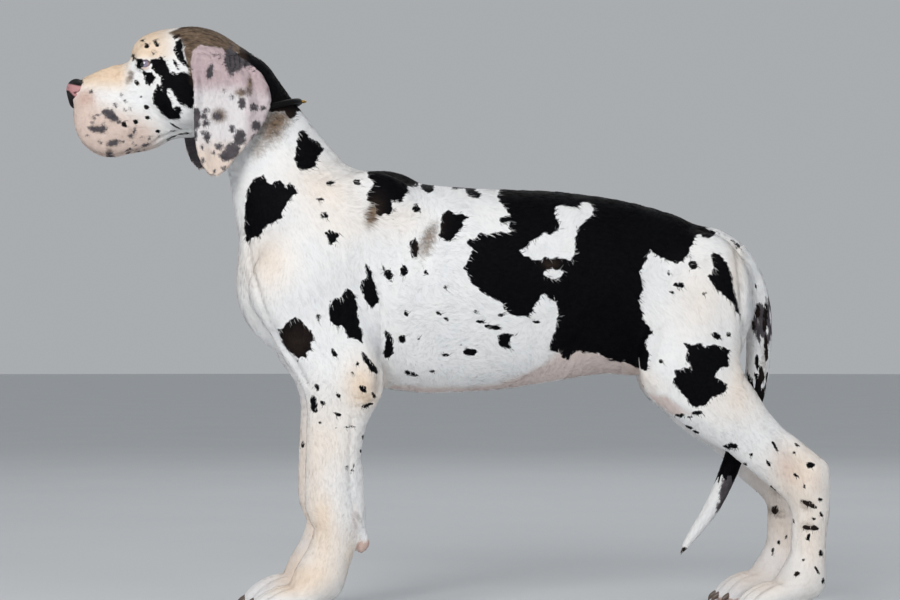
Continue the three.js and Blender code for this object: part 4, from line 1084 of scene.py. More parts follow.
def markings(points, normals, part):
    """What marks each place of the skin: distances to dark marks in pixels, and shares of soft stains, tints
    and painted shade.
    """
    left = points[:, 1] < 0
    uv = left_place(points)
    away = smoothstep(6, 60, points[:, 1])[:, None]
    wander = np.stack([
        np.sin(uv[:, 1] / 37 + 1.0) + 0.6 * np.sin(uv[:, 0] / 23 + uv[:, 1] / 51),
        np.sin(uv[:, 0] / 41 + 2.0) + 0.6 * np.sin(uv[:, 1] / 27 - uv[:, 0] / 47),
    ], 1)
    uv = uv + away * wander * 9
    outward = np.where(left, -normals[:, 1], normals[:, 1])
    body, ear, tail = part == PART_BODY, part == PART_EAR, part == PART_TAIL
    head = body & on_head(points)
    n = len(points)
    ink = np.full(n, 40.0, np.float32)
    slate = np.full(n, 40.0, np.float32)

    def fill(target, mask, outlines, specks):
        at = np.flatnonzero(mask)
        if len(at):
            target[at] = np.minimum(target[at], nearest_mark(uv[at], outlines, specks))

    trunk = body & ~head
    fill(ink, trunk & left, OUTLINES, SPECKS)
    fill(ink, trunk & ~left, RIGHT_OUTLINES, RIGHT_SPECKS)
    at = np.flatnonzero(trunk)
    saddle = polygon_distance(uv[at], SADDLE)
    for island in SADDLE_ISLANDS:
        saddle = np.maximum(saddle, -polygon_distance(uv[at], island))
    ink[at] = np.minimum(ink[at], saddle)
    # Inner faces of the legs and the belly stay nearly plain.
    low = trunk & (points[:, 2] < 330)
    ink[low] += 14 * smoothstep(0.15, -0.25, outward[low]) * smoothstep(330, 300, points[low, 2])
    far = trunk & ~left & (outward < 0) & (points[:, 2] < 240)
    ink[far] = np.minimum(ink[far], nearest_mark(photo_place(points[far]), [], FAR_LEG_SPECKS))
    fill(ink, head, [*FACE_OUTLINES, NAPE], FACE_SPECKS)
    fill(slate, ear, EAR_OUTLINES, EAR_SPECKS)
    fill(slate, head, MUZZLE_GREY, MUZZLE_SPECKS)
    fill(slate, ear | head, [EAR_SLATE], [])
    # The far ear's inner side, which shows under the jaw, is painted dark slate, darkest low down.
    ear_under = ear & (normals[:, 1] < 0) & ~left
    slate[ear_under] = np.minimum(slate[ear_under], 4 - 12 * smoothstep(590, 560, points[ear_under, 2]))
    taupe = soft_patches(uv, TAUPE_STAINS_AND_SHADE) * trunk
    at = np.flatnonzero(uv[:, 1] < 90)
    crown = smoothstep(1.5, -2.5, np.where(ear[at], polygon_distance(uv[at], CROWN),
    polygon_distance(uv[at], CROWN_UNDER)))
    taupe[at] = np.maximum(taupe[at], crown)
    at = np.flatnonzero(head)
    taupe[at] = np.maximum(taupe[at], 0.6 * smoothstep(3, -3, polygon_distance(uv[at], EYE_BROWN)))
    taupe[at] = np.maximum(taupe[at], soft_patches(uv[at], MUZZLE_STAINS))
    at = np.flatnonzero(ear)
    taupe[at] = np.maximum(taupe[at], soft_patches(uv[at], [(*s, 0.75) for s in EAR_TAUPE]))
    # Tail: mottled down its outer side, black low down, white to the tip.
    at = np.flatnonzero(tail)
    z = points[at, 2]
    wave = np.where(z > 210, 22, 8) * undulation(points[at] * [1, 1, 0.12], 4, 9)
    black = np.maximum(z - TAIL_BLACK[1] - wave, TAIL_BLACK[0] - z + wave) / 1.15
    ink[at] = np.minimum(nearest_mark(uv[at], TAIL_OUTLINES, TAIL_SPECKS), black)
    slate[at] = nearest_mark(uv[at], TAIL_GREY, []) - wave / 4
    taupe[at] = soft_patches(uv[at], TAIL_STAINS)
    # Bare, pinkish skin: muzzle, lips, eye rims, ear leather, belly, pads.
    pink = np.zeros(n)
    pu, pv = uv[:, 0], uv[:, 1]
    lips = smoothstep(88, 122, pv + 0.35 * (104 - pu)) * smoothstep(176, 140, pu) * smoothstep(60, 72, pv)
    nose_side = np.exp(-(((pu - 86) / 9) ** 2) - (((pv - 97) / 8) ** 2))
    lid = np.exp(-(((pu - 145) / 5) ** 2) - (((pv - 68) / 2.2) ** 2))
    pink[head] = np.maximum(0.62 * lips + 0.8 * nose_side, lid)[head]
    # Shares below nought stand for lilac: the ears' own colour, and painted shade on skin in the shade of the
    # chest and between the legs.
    pink[ear] = -np.minimum(0.35 + 0.6 * smoothstep(98, 76, pv) + 0.3 * smoothstep(240, 252, pu), 0.95)[ear]
    belly = trunk & (points[:, 0] > -70) & (points[:, 2] > 230)
    rim = lerp(-0.78, -0.42, smoothstep(30, 150, points[:, 0]))
    pink[belly] = (0.6 * smoothstep(rim, rim - 0.16, normals[:, 2]))[belly]
    # Painted shade: lilac on skin turned away from the side, low on the chest and between the legs.
    shaded = trunk & (points[:, 2] < 480) & (outward < 0.2)
    pink[shaded] = -0.22
    pink[trunk] = np.where(pink[trunk] < 0, pink[trunk], np.maximum(pink[trunk], soft_patches(uv[trunk],
    PINK_STAINS)))
    pads = trunk & (points[:, 2] < 9) & (normals[:, 2] < 0.1)
    carpal = np.linalg.norm((points - [-106, 0, 84]) * [1, 0, 1], axis=1) < 9
    pink[pads | (carpal & (points[:, 2] < 90))] = 1.0
    cream = soft_patches(uv, WARM_STAINS_AND_SHADE) * trunk
    bridge = smoothstep(98, 76, pv) * smoothstep(56, 80, pu) * smoothstep(134, 118, pu)
    brow = smoothstep(64, 54, pv) * smoothstep(184, 150, pu)
    cream[head] = (0.9 * bridge + 0.8 * brow + 0.35 * lips)[head]
    cream[ear] = (0.6 * smoothstep(132, 158, pv))[ear]
    ink += 0.8 * undulation(points, 7, 12)
    return {"ink": ink, "slate": slate, "taupe": taupe, "pink": pink, "cream": cream}


# Relief of muscles, folds and wrinkles: lines in the photograph's pixels, half width, height in millimetres
BODY_RELIEF = [
    ([(246, 236), (250, 262), (257, 287), (266, 314), (280, 345), (296, 363), (307, 384)], 3.0, -2.6),
    ([(256, 248), (262, 275), (272, 306), (286, 336), (303, 360)], 7.0, 1.2),
    ([(378, 296), (381, 325), (382, 350), (381, 378), (378, 392)], 3.6, -2.2),
    ([(352, 300), (362, 330), (368, 360), (368, 380)], 8.0, 1.0),
    ([(300, 232), (322, 262), (342, 292)], 10.0, -1.0),
    ([(330, 420), (328, 470), (331, 512)], 5.0, -0.9),
    ([(352, 418), (350, 455), (351, 484), (353, 508), (360, 522)], 2.6, -1.5),
    ([(312, 420), (316, 470), (318, 505)], 4.0, 0.6),
    ([(322, 520), (338, 528)], 9.0, 1.0),
    ([(350, 397), (362, 399), (375, 394)], 1.6, -0.9),
    ([(352, 407), (364, 405), (374, 401)], 1.5, -0.7),
    ([(304, 556), (292, 574), (276, 588)], 3.0, -0.8),
    ([(322, 556), (312, 576), (298, 592)], 3.0, -0.8),
    ([(736, 248), (741, 278), (743, 312), (746, 344), (753, 372), (760, 394)], 3.2, -2.6),
    ([(726, 262), (731, 300), (734, 340), (742, 372)], 6.0, 1.2),
    ([(668, 262), (676, 300), (684, 338), (690, 372)], 12.0, -1.0),
    ([(657, 330), (652, 350), (646, 368)], 5.0, -2.0),
    ([(600, 354), (620, 361), (640, 369), (654, 384)], 4.0, 1.4),
    ([(664, 392), (690, 408), (720, 430)], 5.0, 0.8),
    ([(768, 428), (786, 446), (800, 464), (806, 480)], 5.0, -1.8),
    ([(778, 476), (790, 500), (798, 530), (800, 560)], 3.0, -0.9),
    ([(812, 462), (818, 470)], 6.0, 1.0),
    ([(786, 562), (772, 580), (756, 592)], 3.0, -0.8),
]
FACE_RELIEF = [
    ([(152, 144), (160, 138), (172, 133), (188, 131)], 1.6, -1.5),
    ([(170, 120), (178, 124), (188, 129)], 1.5, -1.0),
    ([(166, 128), (176, 130), (187, 133)], 1.3, -0.8),
    ([(84, 98), (89, 108), (90, 120)], 2.2, -0.7),
    ([(98, 112), (104, 124), (118, 132)], 9.0, 0.9),
    ([(88, 76), (106, 73), (126, 72)], 4.0, -0.7),
    ([(128, 66), (133, 74), (134, 84)], 3.0, -0.9),
    ([(136, 52), (145, 48), (154, 53)], 3.0, 0.9),
    ([(138, 73), (146, 76), (154, 74)], 1.8, -0.8),
    ([(160, 56), (168, 76), (172, 98), (178, 116)], 6.0, -0.8),
    ([(150, 100), (162, 104)], 9.0, 0.9),
    ([(196, 34), (186, 44), (184, 58)], 3.0, -1.0),
]
EAR_RELIEF = [
    ([(236, 66), (243, 84), (248, 100), (250, 116)], 4.0, 1.8),
    ([(248, 64), (255, 84), (259, 104)], 4.0, -1.4),
    ([(195, 54), (196, 82), (195, 108)], 3.5, 1.4),
    ([(203, 56), (205, 86), (203, 116)], 4.0, -1.3),
    ([(222, 62), (226, 96), (222, 136)], 8.0, 1.0),
    ([(214, 128), (212, 150), (211, 168)], 4.0, -0.8),
]


def strokes(uv, lines):
    """The height that lines of relief give each place."""
    height = np.zeros(len(uv))
    for line, width, rise in lines:
        line = np.asarray(line, float)
        near = np.flatnonzero(((uv > line.min(0) - 3 * width) & (uv < line.max(0) + 3 * width)).all(1))
        if not len(near):
            continue
        q = uv[near]
        best = np.full(len(near), 1e9)
        for a, b in zip(line[:-1], line[1:]):
            along = np.clip(((q - a) @ (b - a)) / max((b - a) @ (b - a), 1e-9), 0, 1)
            best = np.minimum(best, ((q - a - along[:, None] * (b - a)) ** 2).sum(1))
        height[near] += rise * np.exp(-best / (2 * (width / 1.6) ** 2))
    return height


def with_relief(points, normals, part):
    """The points, moved out or in by the lines of relief."""
    uv = left_place(points.astype(float))
    head = on_head(points)
    sideways = smoothstep(0.1, 0.5, np.abs(normals[:, 1]))
    outward = normals[:, 1] * np.sign(points[:, 1]) > 0
    body = part == PART_BODY
    rise = np.where(body & ~head & outward, 1.25 * strokes(uv, BODY_RELIEF), 0) * sideways
    rise += np.where(body & head, 1.5 * strokes(uv, FACE_RELIEF), 0) * sideways
    rise += body * (0.5 * undulation(points, 70, 3) * ~head + 0.12 * undulation(points, 18, 5))
    rise = np.where(points[:, 2] < 30, rise * 0.3, rise)
    moved = points + normals * rise[:, None]
    ear = np.flatnonzero(part == PART_EAR)
    moved[ear, 1] += np.sign(points[ear, 1]) * 1.6 * strokes(uv[ear], EAR_RELIEF) * smoothstep(48, 62,
    uv[ear, 1])
    return moved


# Coat material, shared by the skin and the tufts over it
def coat_material(name, tufts):
    n = Nodes(name)
    ink, slate = n.attribute("ink"), n.attribute("slate")
    taupe, pink, cream, shade = (n.attribute(a) for a in ("taupe", "pink", "cream", "shade"))
    streak = n.noise(420, 3, 0.6, stretch=(0.45, 1, 0.7))
    lock = n.noise(240, 3, 0.7, stretch=(0.35, 1, 0.6))
    ragged = n.math("MULTIPLY", n.math("SUBTRACT", streak, 0.5), 1.6 if tufts else 4.0)
    mottle = n.math("MULTIPLY", n.math("SUBTRACT", n.noise(300, 3, 0.6), 0.5), 7.0)
    white = n.mix(n.noise(26, 4, 0.6), rgb(230, 232, 236), rgb(248, 246, 243))
    white = n.mix(n.math("MULTIPLY", cream, 0.85), white, rgb(238, 207, 170))
    flush = n.mix(n.noise(220, 3, 0.6), rgb(184, 150, 138), rgb(224, 194, 180))
    white = n.mix(n.ramp(pink, 0.0, 1.0, 0.0, 0.85), white, flush)
    # Lilac where pink runs below nought: the ears' own colour, and painted shade on the chest and between the
    # legs.
    lilac_and_painted_shade = n.mix(lock, rgb(164, 138, 142), rgb(212, 190, 194))
    white = n.mix(n.ramp(pink, 0.0, -1.0, 0.0, 0.9), white, lilac_and_painted_shade)
    brown = n.mix(n.ramp(lock, 0.2, 0.8), rgb(64, 52, 44), rgb(146, 125, 106))
    colour = n.mix(n.ramp(n.math("ADD", taupe, n.math("MULTIPLY", ragged, 0.12)), 0.2, 0.8), white, brown)
    grey = n.mix(lock, rgb(38, 37, 43), rgb(110, 104, 108))
    colour = n.mix(n.ramp(n.math("ADD", slate, mottle), 1.6, -1.6), colour, grey)
    black = n.mix(streak, rgb(2, 2, 3), rgb(16, 16, 20))
    black = n.mix(n.math("MULTIPLY", taupe, 0.9), black, n.mix(lock, rgb(34, 27, 24), rgb(74, 60, 52)))
    colour = n.mix(n.ramp(n.math("ADD", ink, ragged), 0.7, -0.7), colour, black)
    tone = n.tree.nodes.new("ShaderNodeHueSaturation")
    n.put(tone.inputs["Value"], n.ramp(shade, 0.0, 1.0, 0.93, 1.05))
    n.put(tone.inputs["Color"], colour)
    n.set("Base Color", tone.outputs[0])
    n.set("Roughness", 0.6)
    n.set("Specular IOR Level", 0.04)
    if not tufts:
        fine = n.noise(900, 2, 0.6, stretch=(0.35, 1, 0.6))
        n.set("Normal", n.bump(n.math("ADD", fine, n.noise(160, 3)), 0.3, 0.0006))
    return n.material


# Unwrap: each region is rolled off its own axis, or pressed flat for the ears, onto one square sheet
SHEET = 1180.0  # millimetres of skin along a side of the unit square


def roll(points, middle, first, second, along, radius):
    """Angle round an axis times a radius, and distance along it."""
    away = points - middle
    return np.stack([np.arctan2(away @ second, away @ first) * radius, points @ along], -1)


def unwrap(points, centres, facing, part):
    """Places on the sheet for corners (n, k, 3) of patches with these centres and normals."""
    x, y, z = centres.T
    s = np.where(y < 0, -1.0, 1.0)
    body = part == PART_BODY
    head = body & (x < -250) & (z > 500)
    neck = body & ~head & (x < -120) & ((x + 172) * 0.62 - (z - 478) * 0.78 < 0) & (z > 400)
    fore = body & ~head & ~neck & (x < 0) & (z < 262)
    hind = body & (x > 180) & (z < 262)
    trunk = body & ~(head | neck | fore | hind)
    ones, zeros = np.ones_like(z), np.zeros_like(z)
    uv = np.zeros((*points.shape[:2], 2))

    def lay(mask, middle, first, second, along, radius, origin):
        i = np.flatnonzero(mask)
        if not len(i):
            return
        core = roll(centres[i][:, None], middle[i][:, None], first, second, along, radius)
        corner = roll(points[i], middle[i][:, None], first, second, along, radius)
        turn = 2 * math.pi * radius
        corner[..., 0] -= turn * np.round((corner[..., 0] - core[..., 0]) / turn)
        uv[i] = corner + [turn / 2, 0] + np.asarray(origin)[i][:, None]

    side, up, ahead = np.array([0, 1.0, 0]), np.array([0, 0, 1.0]), np.array([1.0, 0, 0])

    def place(u, v):
        return np.stack([u * ones, v * ones], 1)

    lay(trunk, np.stack([zeros, zeros, np.interp(x, [-240, -150, 0, 200, 340], [390, 385, 370, 370,
    350])], 1),
        up, side, ahead, 100, place(12, 270))
    lay(head, np.stack([zeros, zeros, 590 * ones], 1), up, side, ahead, 48, place(668, 450))
    bent = np.array([0.875, 0, 0.484])
    lay(neck, np.stack([-243 + 0 * x, zeros, 592 + 0 * x], 1), bent, side, np.array([0.484, 0, -0.875]),
    58, place(668, 900))
    lay(fore, np.stack([np.interp(z, [0, 50, 160, 262], [-190, -158, -138, -124]), s * FORE_STANCE,
    zeros], 1),
        ahead, side, up, 30, place(0, 700) + np.stack([np.where(s < 0, 12, 222), 0 * s], 1))
    lay(hind, np.stack([np.interp(z, [0, 40, 120, 170, 230, 262], [370, 400, 406, 385, 318, 285]),
    s * HIND_STANCE, zeros], 1),
        ahead, side, up, 30, place(0, 700) + np.stack([np.where(s < 0, 432, 642), 0 * s], 1))
    lay(part == PART_TAIL, np.stack([np.interp(z, [66, 141, 204, 312, 385, 424], [271, 319, 343, 364, 351,
    306]), zeros, zeros], 1),
        ahead, side, up, 14, place(850, 650))
    ear = np.flatnonzero(part == PART_EAR)
    outer = facing[ear, 1] * s[ear] > 0
    slot = np.where(s[ear] < 0, 0, 2) + np.where(outer, 0, 1)
    uv[ear] = points[ear][..., [0, 2]] + [320, 520] + np.stack([slot * 140.0 + 12, 0 * slot], 1)[:, None]
    return uv / SHEET


# Skin
skin_points, skin_quads = meshed(whole_field, GRID_LOW, GRID_HIGH, CELL)
skin_points = smoothed(skin_points, skin_quads)
skin = mesh_object("skin", skin_points, skin_quads)
points, normals = points_and_normals(skin.data)
part = whole_field(points[:, None, :], parts=True)[1][:, 0]
points = with_relief(points, normals, part)
skin.data.vertices.foreach_set("co", (points * MM).astype(np.float32).ravel())
skin.data.update()
marked = markings(points, normals, part)
edge = np.minimum(np.abs(marked["ink"]), np.abs(marked["slate"]))
fine_form = ((points[:, 0] < -225) & (points[:, 2] > 495)) | (points[:, 2] < 40)
decimated(skin, 190000, 0.62 * smoothstep(1.5, 5, edge) * np.where(fine_form, 0.45, 1))
skin.name = "skin"
points, normals = points_and_normals(skin.data)
part = whole_field(points[:, None, :], parts=True)[1][:, 0]
for name, values in markings(points, normals, part).items():
    attribute(skin.data, name, values)
attribute(skin.data, "shade", np.full(len(points), 0.6))
triangles = np.zeros(len(skin.data.polygons) * 3, np.int32)
skin.data.loops.foreach_get("vertex_index", triangles)
triangles = triangles.reshape(-1, 3)
corners = points[triangles]
cross = np.cross(corners[:, 1] - corners[:, 0], corners[:, 2] - corners[:, 0])
area = np.linalg.norm(cross, axis=1) / 2
face_normals = cross / np.maximum(2 * area, 1e-9)[:, None]
face_part = part[triangles[:, 0]]


def bake_map(mesh, uv):
    mesh.uv_layers.new(name="OFBake").data.foreach_set("uv", uv.astype(np.float32).ravel())


bake_map(skin.data, unwrap(corners, corners.mean(1), face_normals, face_part))
skin.data.materials.append(coat_material("coat", False))
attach(skin, "root")
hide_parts(*[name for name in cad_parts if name.split("_")[0] in (
    "head", "neck", "shoulder", "torso", "foreleg", "forepaw", "thigh", "shank", "hindpaw", "tail", "ear")])

# Tufts: thin blades that lie along the coat
# Which way the coat lies, as x and z at places x and z.
LIE = np.array([
    [-428, 600, 1, 0.3], [-390, 568, 1, 0.0], [-400, 530, 0.9, -0.4], [-365, 600, 1, 0.1], [-345, 650,
    0.8, 0.5],
    [-290, 672, 1, 0.0], [-320, 600, 0.9, -0.3], [-320, 560, 0.8, -0.5], [-215, 605, 0.66, -0.7], [-270,
    520, 0.4, -0.9],
    [-200, 520, 0.55, -0.83], [-170, 450, 0.5, -0.86], [-240, 380, 0.1, -1], [-150, 380, 0.35, -0.93],
    [-90, 500, 0.95, -0.2],
    [-110, 270, 0.2, -1], [-140, 160, 0.05, -1], [-150, 70, -0.2, -1], [-200, 20, -0.95, -0.3], [60, 485,
    1, -0.15],
    [20, 380, 0.85, -0.5], [40, 265, 1, 0.1], [180, 470, 1, -0.2], [215, 330, 0.75, -0.65], [190, 270, 1,
    0.1],
    [290, 450, 0.9, -0.45], [280, 330, 0.45, -0.9], [335, 380, 0.1, -1], [250, 270, 0.3, -0.95], [330,
    210, 0.6, -0.8],
    [400, 160, 0.3, -0.95], [405, 90, 0.0, -1], [350, 20, -0.95, -0.3],
])


def coat_lie(p, part):
    total = np.zeros((len(p), 2))
    for x, z, dx, dz in LIE:
        weight = 1 / (((p[:, 0] - x) ** 2 + (p[:, 2] - z) ** 2) / 400 + 1) ** 2
        total += weight[:, None] * np.array([dx, dz]) / math.hypot(dx, dz)
    total[part == PART_EAR] = [0.15, -1]
    low_tail = smoothstep(330, 200, p[:, 2])
    tail = np.stack([lerp(0.25, -0.45, low_tail), -np.ones(len(p))], 1)
    total = np.where((part == PART_TAIL)[:, None], tail, total)
    return np.stack([total[:, 0], 0.12 * undulation(p, 60, 8), total[:, 1]], 1)


def tufts(count):
    """Roots, frames and sizes of the coat's blades, denser and finer on the head and feet."""
    middle = corners.mean(1)
    head = (middle[:, 0] < -250) & (middle[:, 2] > 500)
    feet = middle[:, 2] < 60
    weight = area * np.where(head, 2.2, np.where(feet, 1.6, 1.0))
    weight[(middle[:, 2] < 8) | (np.abs(middle[:, 2]) > 1e5)] = 0
    for s, _ in SIDES:
        weight[np.linalg.norm(middle - eye_centre(s), axis=1) < EYEBALL + 4] = 0
    weight[np.linalg.norm((middle - [-426, 0, 592]) * [1, 0.8, 1], axis=1) < 16] = 0
    draw = np.random.default_rng(11)
    face = np.searchsorted(np.cumsum(weight) / weight.sum(), draw.uniform(size=count)).clip(0,
    len(area) - 1)
    a, b = draw.uniform(size=(2, count))
    flip = a + b > 1
    a, b = np.where(flip, 1 - a, a), np.where(flip, 1 - b, b)
    share = np.stack([1 - a - b, a, b], 1)
    ids = triangles[face]
    root = (points[ids] * share[..., None]).sum(1)
    up = (normals[ids] * share[..., None]).sum(1)
    up /= np.linalg.norm(up, axis=1)[:, None]
    kind = part[ids[:, 0]]
    lie = coat_lie(root, kind)
    lie += draw.normal(0, 0.13, lie.shape) * np.linalg.norm(lie, axis=1)[:, None]
    lie -= (lie * up).sum(1)[:, None] * up
    lie /= np.maximum(np.linalg.norm(lie, axis=1), 1e-6)[:, None]
    # How the skin curves along the lie, from the corner normals of its triangle.
    e1, e2 = points[ids[:, 1]] - points[ids[:, 0]], points[ids[:, 2]] - points[ids[:, 0]]
    n1, n2 = normals[ids[:, 1]] - normals[ids[:, 0]], normals[ids[:, 2]] - normals[ids[:, 0]]
    aa, ab, bb = (e1 * e1).sum(1), (e1 * e2).sum(1), (e2 * e2).sum(1)
    la, lb = (lie * e1).sum(1), (lie * e2).sum(1)
    det = np.maximum(aa * bb - ab * ab, 1e-6)
    ka, kb = (la * bb - lb * ab) / det, (lb * aa - la * ab) / det
    curve = np.clip(((ka[:, None] * n1 + kb[:, None] * n2) * lie).sum(1), -0.05, 0.08)
    x, z = root[:, 0], root[:, 2]
    on_head = (x < -250) & (z > 500)
    long_here = 5.2 + 2.2 * smoothstep(-220, -140, x) * smoothstep(300, 360, z)
    long_here = np.where(z < 250, lerp(3.2, 5.0, smoothstep(20, 160, z)), long_here)
    long_here = np.where(on_head, 2.6 + 1.6 * smoothstep(-400, -300, x), long_here)
    long_here = np.where(kind == PART_EAR, 3.6, long_here)
    long_here = np.where(kind == PART_TAIL, 6.5, long_here)
    breech = smoothstep(300, 335, x) * smoothstep(240, 300, z) * (kind == PART_BODY)
    front = smoothstep(-215, -240, x) * smoothstep(290, 330, z) * smoothstep(480, 440, z)
    fringe = np.maximum(breech, front)
    length = (long_here + 3.0 * fringe) * draw.uniform(0.7, 1.25, count)
    width = np.where(on_head | (z < 60), 0.2, 0.3) * draw.uniform(0.7, 1.3, count)
    stand = 0.15 + 0.5 * draw.uniform(size=count) ** 2 + 0.6 * fringe * draw.uniform(size=count)
    return {"root": root, "up": up, "lie": lie, "curve": curve, "length": length, "width": width,
    "stand": stand,
            "part": kind, "face": face, "roll": draw.normal(0, 0.3, count),
            "shade": draw.uniform(size=count)}


def tuft_object(name, t, pick, material):
    """Blades of three triangles: two corners at the root, two halfway and a tip."""
    root, up, lie = t["root"][pick], t["up"][pick], t["lie"][pick]
    length, width, stand, curve = (t[k][pick][:, None] for k in ("length", "width", "stand", "curve"))
    roll_angle = t["roll"][pick][:, None]
    marks = markings(root, up, t["part"][pick])
    crossing = np.zeros(len(root), bool)
    for share in (0.5, 1.0):
        crossing |= (markings(root + lie * length * share, up,
        t["part"][pick])["ink"] < 0) != (marks["ink"] < 0)
    cut = crossing & (t["shade"][pick] < np.where(marks["ink"] > 0, 0.95, 0.75))
    length = length * np.where(cut, 0.4, 1.0)[:, None]
    across = np.cross(lie, up)
    across = across * np.cos(roll_angle) + up * np.sin(roll_angle)

    def spine(share, lift):
        far = length * share
        return root + lie * far + up * (lift - curve * far**2 / 2)

    base, mid, tip = spine(0, -0.12), spine(0.55, 0.16 + 0.45 * stand), spine(1.0, stand)
    lit = up + np.random.default_rng(6).normal(0, 0.1, up.shape)
    verts = np.stack([base - across * width, base + across * width, mid - across * width * 0.8,
                      mid + across * width * 0.8, tip], 1)
    count = len(root)
    start = np.arange(count)[:, None, None] * 5
    faces = (start + np.array([[0, 1, 3], [0, 3, 2], [2, 3, 4]])).reshape(-1, 3)
    made = mesh_object(name, verts.reshape(-1, 3), faces)
    made.data.normals_split_custom_set_from_vertices(np.repeat(lit / np.linalg.norm(lit, axis=1)[:, None],
    5, 0))
    marks["ink"] = marks["ink"] + np.random.default_rng(5).normal(0, 0.5, count)
    marks["shade"] = t["shade"][pick]
    for key, values in marks.items():
        attribute(made.data, key, np.repeat(values, 5))
    home = unwrap(root[:, None], root, up, t["part"][pick])[:, 0]
    patch = np.array([[-1, -1], [1, -1], [-0.8, 0], [0.8, 0], [0, 1]]) * 0.0015
    corner = home[:, None] + patch
    order = np.array([0, 1, 3, 0, 3, 2, 2, 3, 4])
    bake_map(made.data, corner[:, order].reshape(-1, 2))
    made.data.materials.append(material)
    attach(made, "root")
    return made


TUFTS = 250000
coat = tufts(TUFTS)
x, y, z = coat["root"].T
region = np.full(len(x), "coat_trunk_left", dtype=object)
region[y >= 0] = "coat_trunk_right"
region[(x < -120) & (z > 400)] = "coat_neck"
region[(x < -250) & (z > 480) & (y < 0)] = "coat_head_left"
region[(x < -250) & (z > 480) & (y >= 0)] = "coat_head_right"
region[(x < 0) & (z < 262)] = "coat_forelegs"
region[(x > 180) & (z < 262) | (coat["part"] == PART_TAIL)] = "coat_hindquarters"
tuft_paint = coat_material("coat_tufts", True)
for name in np.unique(region.astype(str)):
    tuft_object(name, coat, np.flatnonzero(region == name), tuft_paint)


# Nose
NOSE = (-424, 595)
NOSE_OUTLINES = [
    [(64, 83), (72, 84.5), (79, 86), (84, 86), (84, 74), (64, 74)],
    [(60, 89.5), (69, 90.5), (72, 94), (75, 97), (79.5, 97), (79.5, 100), (76.5, 101), (77, 110),
    (60, 110)],
]
NOSE_MASSES = [
    ball(4, [NOSE[0], 0, NOSE[1]], [11.5, 15, 13], 0),
    ball(4, [NOSE[0] - 1, 0, NOSE[1] - 10], [8, 8, 11], 0),
    *both_sides(lambda s: [ball(4, [NOSE[0] + 2, s * 11, NOSE[1] - 2], [10, 8.5, 9.5], 0)]),
    *both_sides(lambda s: [
        carve(tube(1.5, [
            [NOSE[0] - 13, s * 6.5, NOSE[1] + 1, 3.1, 3.1],
            [NOSE[0] - 8, s * 9, NOSE[1] - 1, 3.0, 2.6],
            [NOSE[0] - 2, s * 16, NOSE[1] - 4.5, 1.5, 1.2],
            [NOSE[0] + 4, s * 20, NOSE[1] - 5, 1.2, 0.9],
        ])),
    ]),
    carve(tube(1.2, [[NOSE[0] - 13, 0, NOSE[1] + 5, 0.7, 0.8], [NOSE[0] - 12, 0, NOSE[1] - 8, 0.8, 0.9],
                     [NOSE[0] - 9, 0, NOSE[1] - 20, 0.9, 1.2]])),
]
nose_points, nose_quads = meshed(lambda b: field_of(NOSE_MASSES, b), np.array([-444.0, -30, 564]),
                                 np.array([-402.0, 30, 618]), 0.9, 4)
nose = mesh_object("nose_pad", smoothed(nose_points, nose_quads, 1), nose_quads)
nose_paint = Nodes("nose_leather")
spread = nose_paint.position()
blotch = nose_paint.noise(70, 3, 0.5)
pebble = nose_paint.tree.nodes.new("ShaderNodeTexVoronoi")
pebble.inputs["Scale"].default_value = 900
nose_paint.put(pebble.inputs["Vector"], spread)
nose_pink = nose_paint.mix(blotch, rgb(172, 120, 124), rgb(200, 150, 150))
nose_paint.set("Base Color", nose_paint.mix(nose_paint.attribute("dark"), nose_pink, rgb(24, 21, 22)))
nose_paint.set("Roughness", 0.52)
nose_paint.set("Specular IOR Level", 0.16)
nose_paint.set("Normal", nose_paint.bump(pebble.outputs[0], 0.5, 0.0006))
nose.data.materials.append(nose_paint.material)
np_points, np_normals = points_and_normals(nose.data)
nose_uv = photo_place(np.stack([np_points[:, 0], -np.abs(np_points[:, 1]), np_points[:, 2]], 1))
dark = smoothstep(0.8, -0.8, nearest_mark(nose_uv, NOSE_OUTLINES, [(80.5, 91.5, 1.6, 3, 30)]))
attribute(nose.data, "dark", dark)
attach(nose, "root")
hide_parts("nose")


# Eyes
EYE_LOOK = np.array([-0.62, 0.76, 0.02])
for s, side in SIDES:
    bpy.ops.mesh.primitive_uv_sphere_add(segments=48, ring_count=32, radius=EYEBALL * MM,
                                         location=eye_centre(s) * MM)
    eye = bpy.context.object
    eye.name = f"eye_{side}_ball"
    for polygon in eye.data.polygons:
        polygon.use_smooth = True
    look = EYE_LOOK * [1, s, 1]
    look = look / np.linalg.norm(look)
    co, _ = points_and_normals(eye.data)
    facing = (co @ look) / EYEBALL
    attribute(eye.data, "facing", facing)
    paint = Nodes(f"eye_{side}_wet")
    at = paint.attribute("facing")
    ring = paint.noise(700, 3)
    iris = paint.mix(ring, rgb(92, 84, 108), rgb(158, 148, 172)) if s < 0 else paint.mix(ring, rgb(60, 44,
    30), rgb(96, 70, 46))
    white = paint.mix(paint.noise(300, 2), rgb(120, 92, 92), rgb(160, 132, 130))
    colour = paint.mix(paint.ramp(at, 0.60, 0.66), white, iris)
    colour = paint.mix(paint.ramp(at, 0.88, 0.90), colour, rgb(7, 7, 8))
    paint.set("Base Color", colour)
    paint.set("Roughness", 0.06)
    paint.set("Coat Weight", 1.0)
    paint.set("Coat Roughness", 0.02)
    eye.data.materials.append(paint.material)
    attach(eye, "root")
    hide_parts(f"eye_{side}")


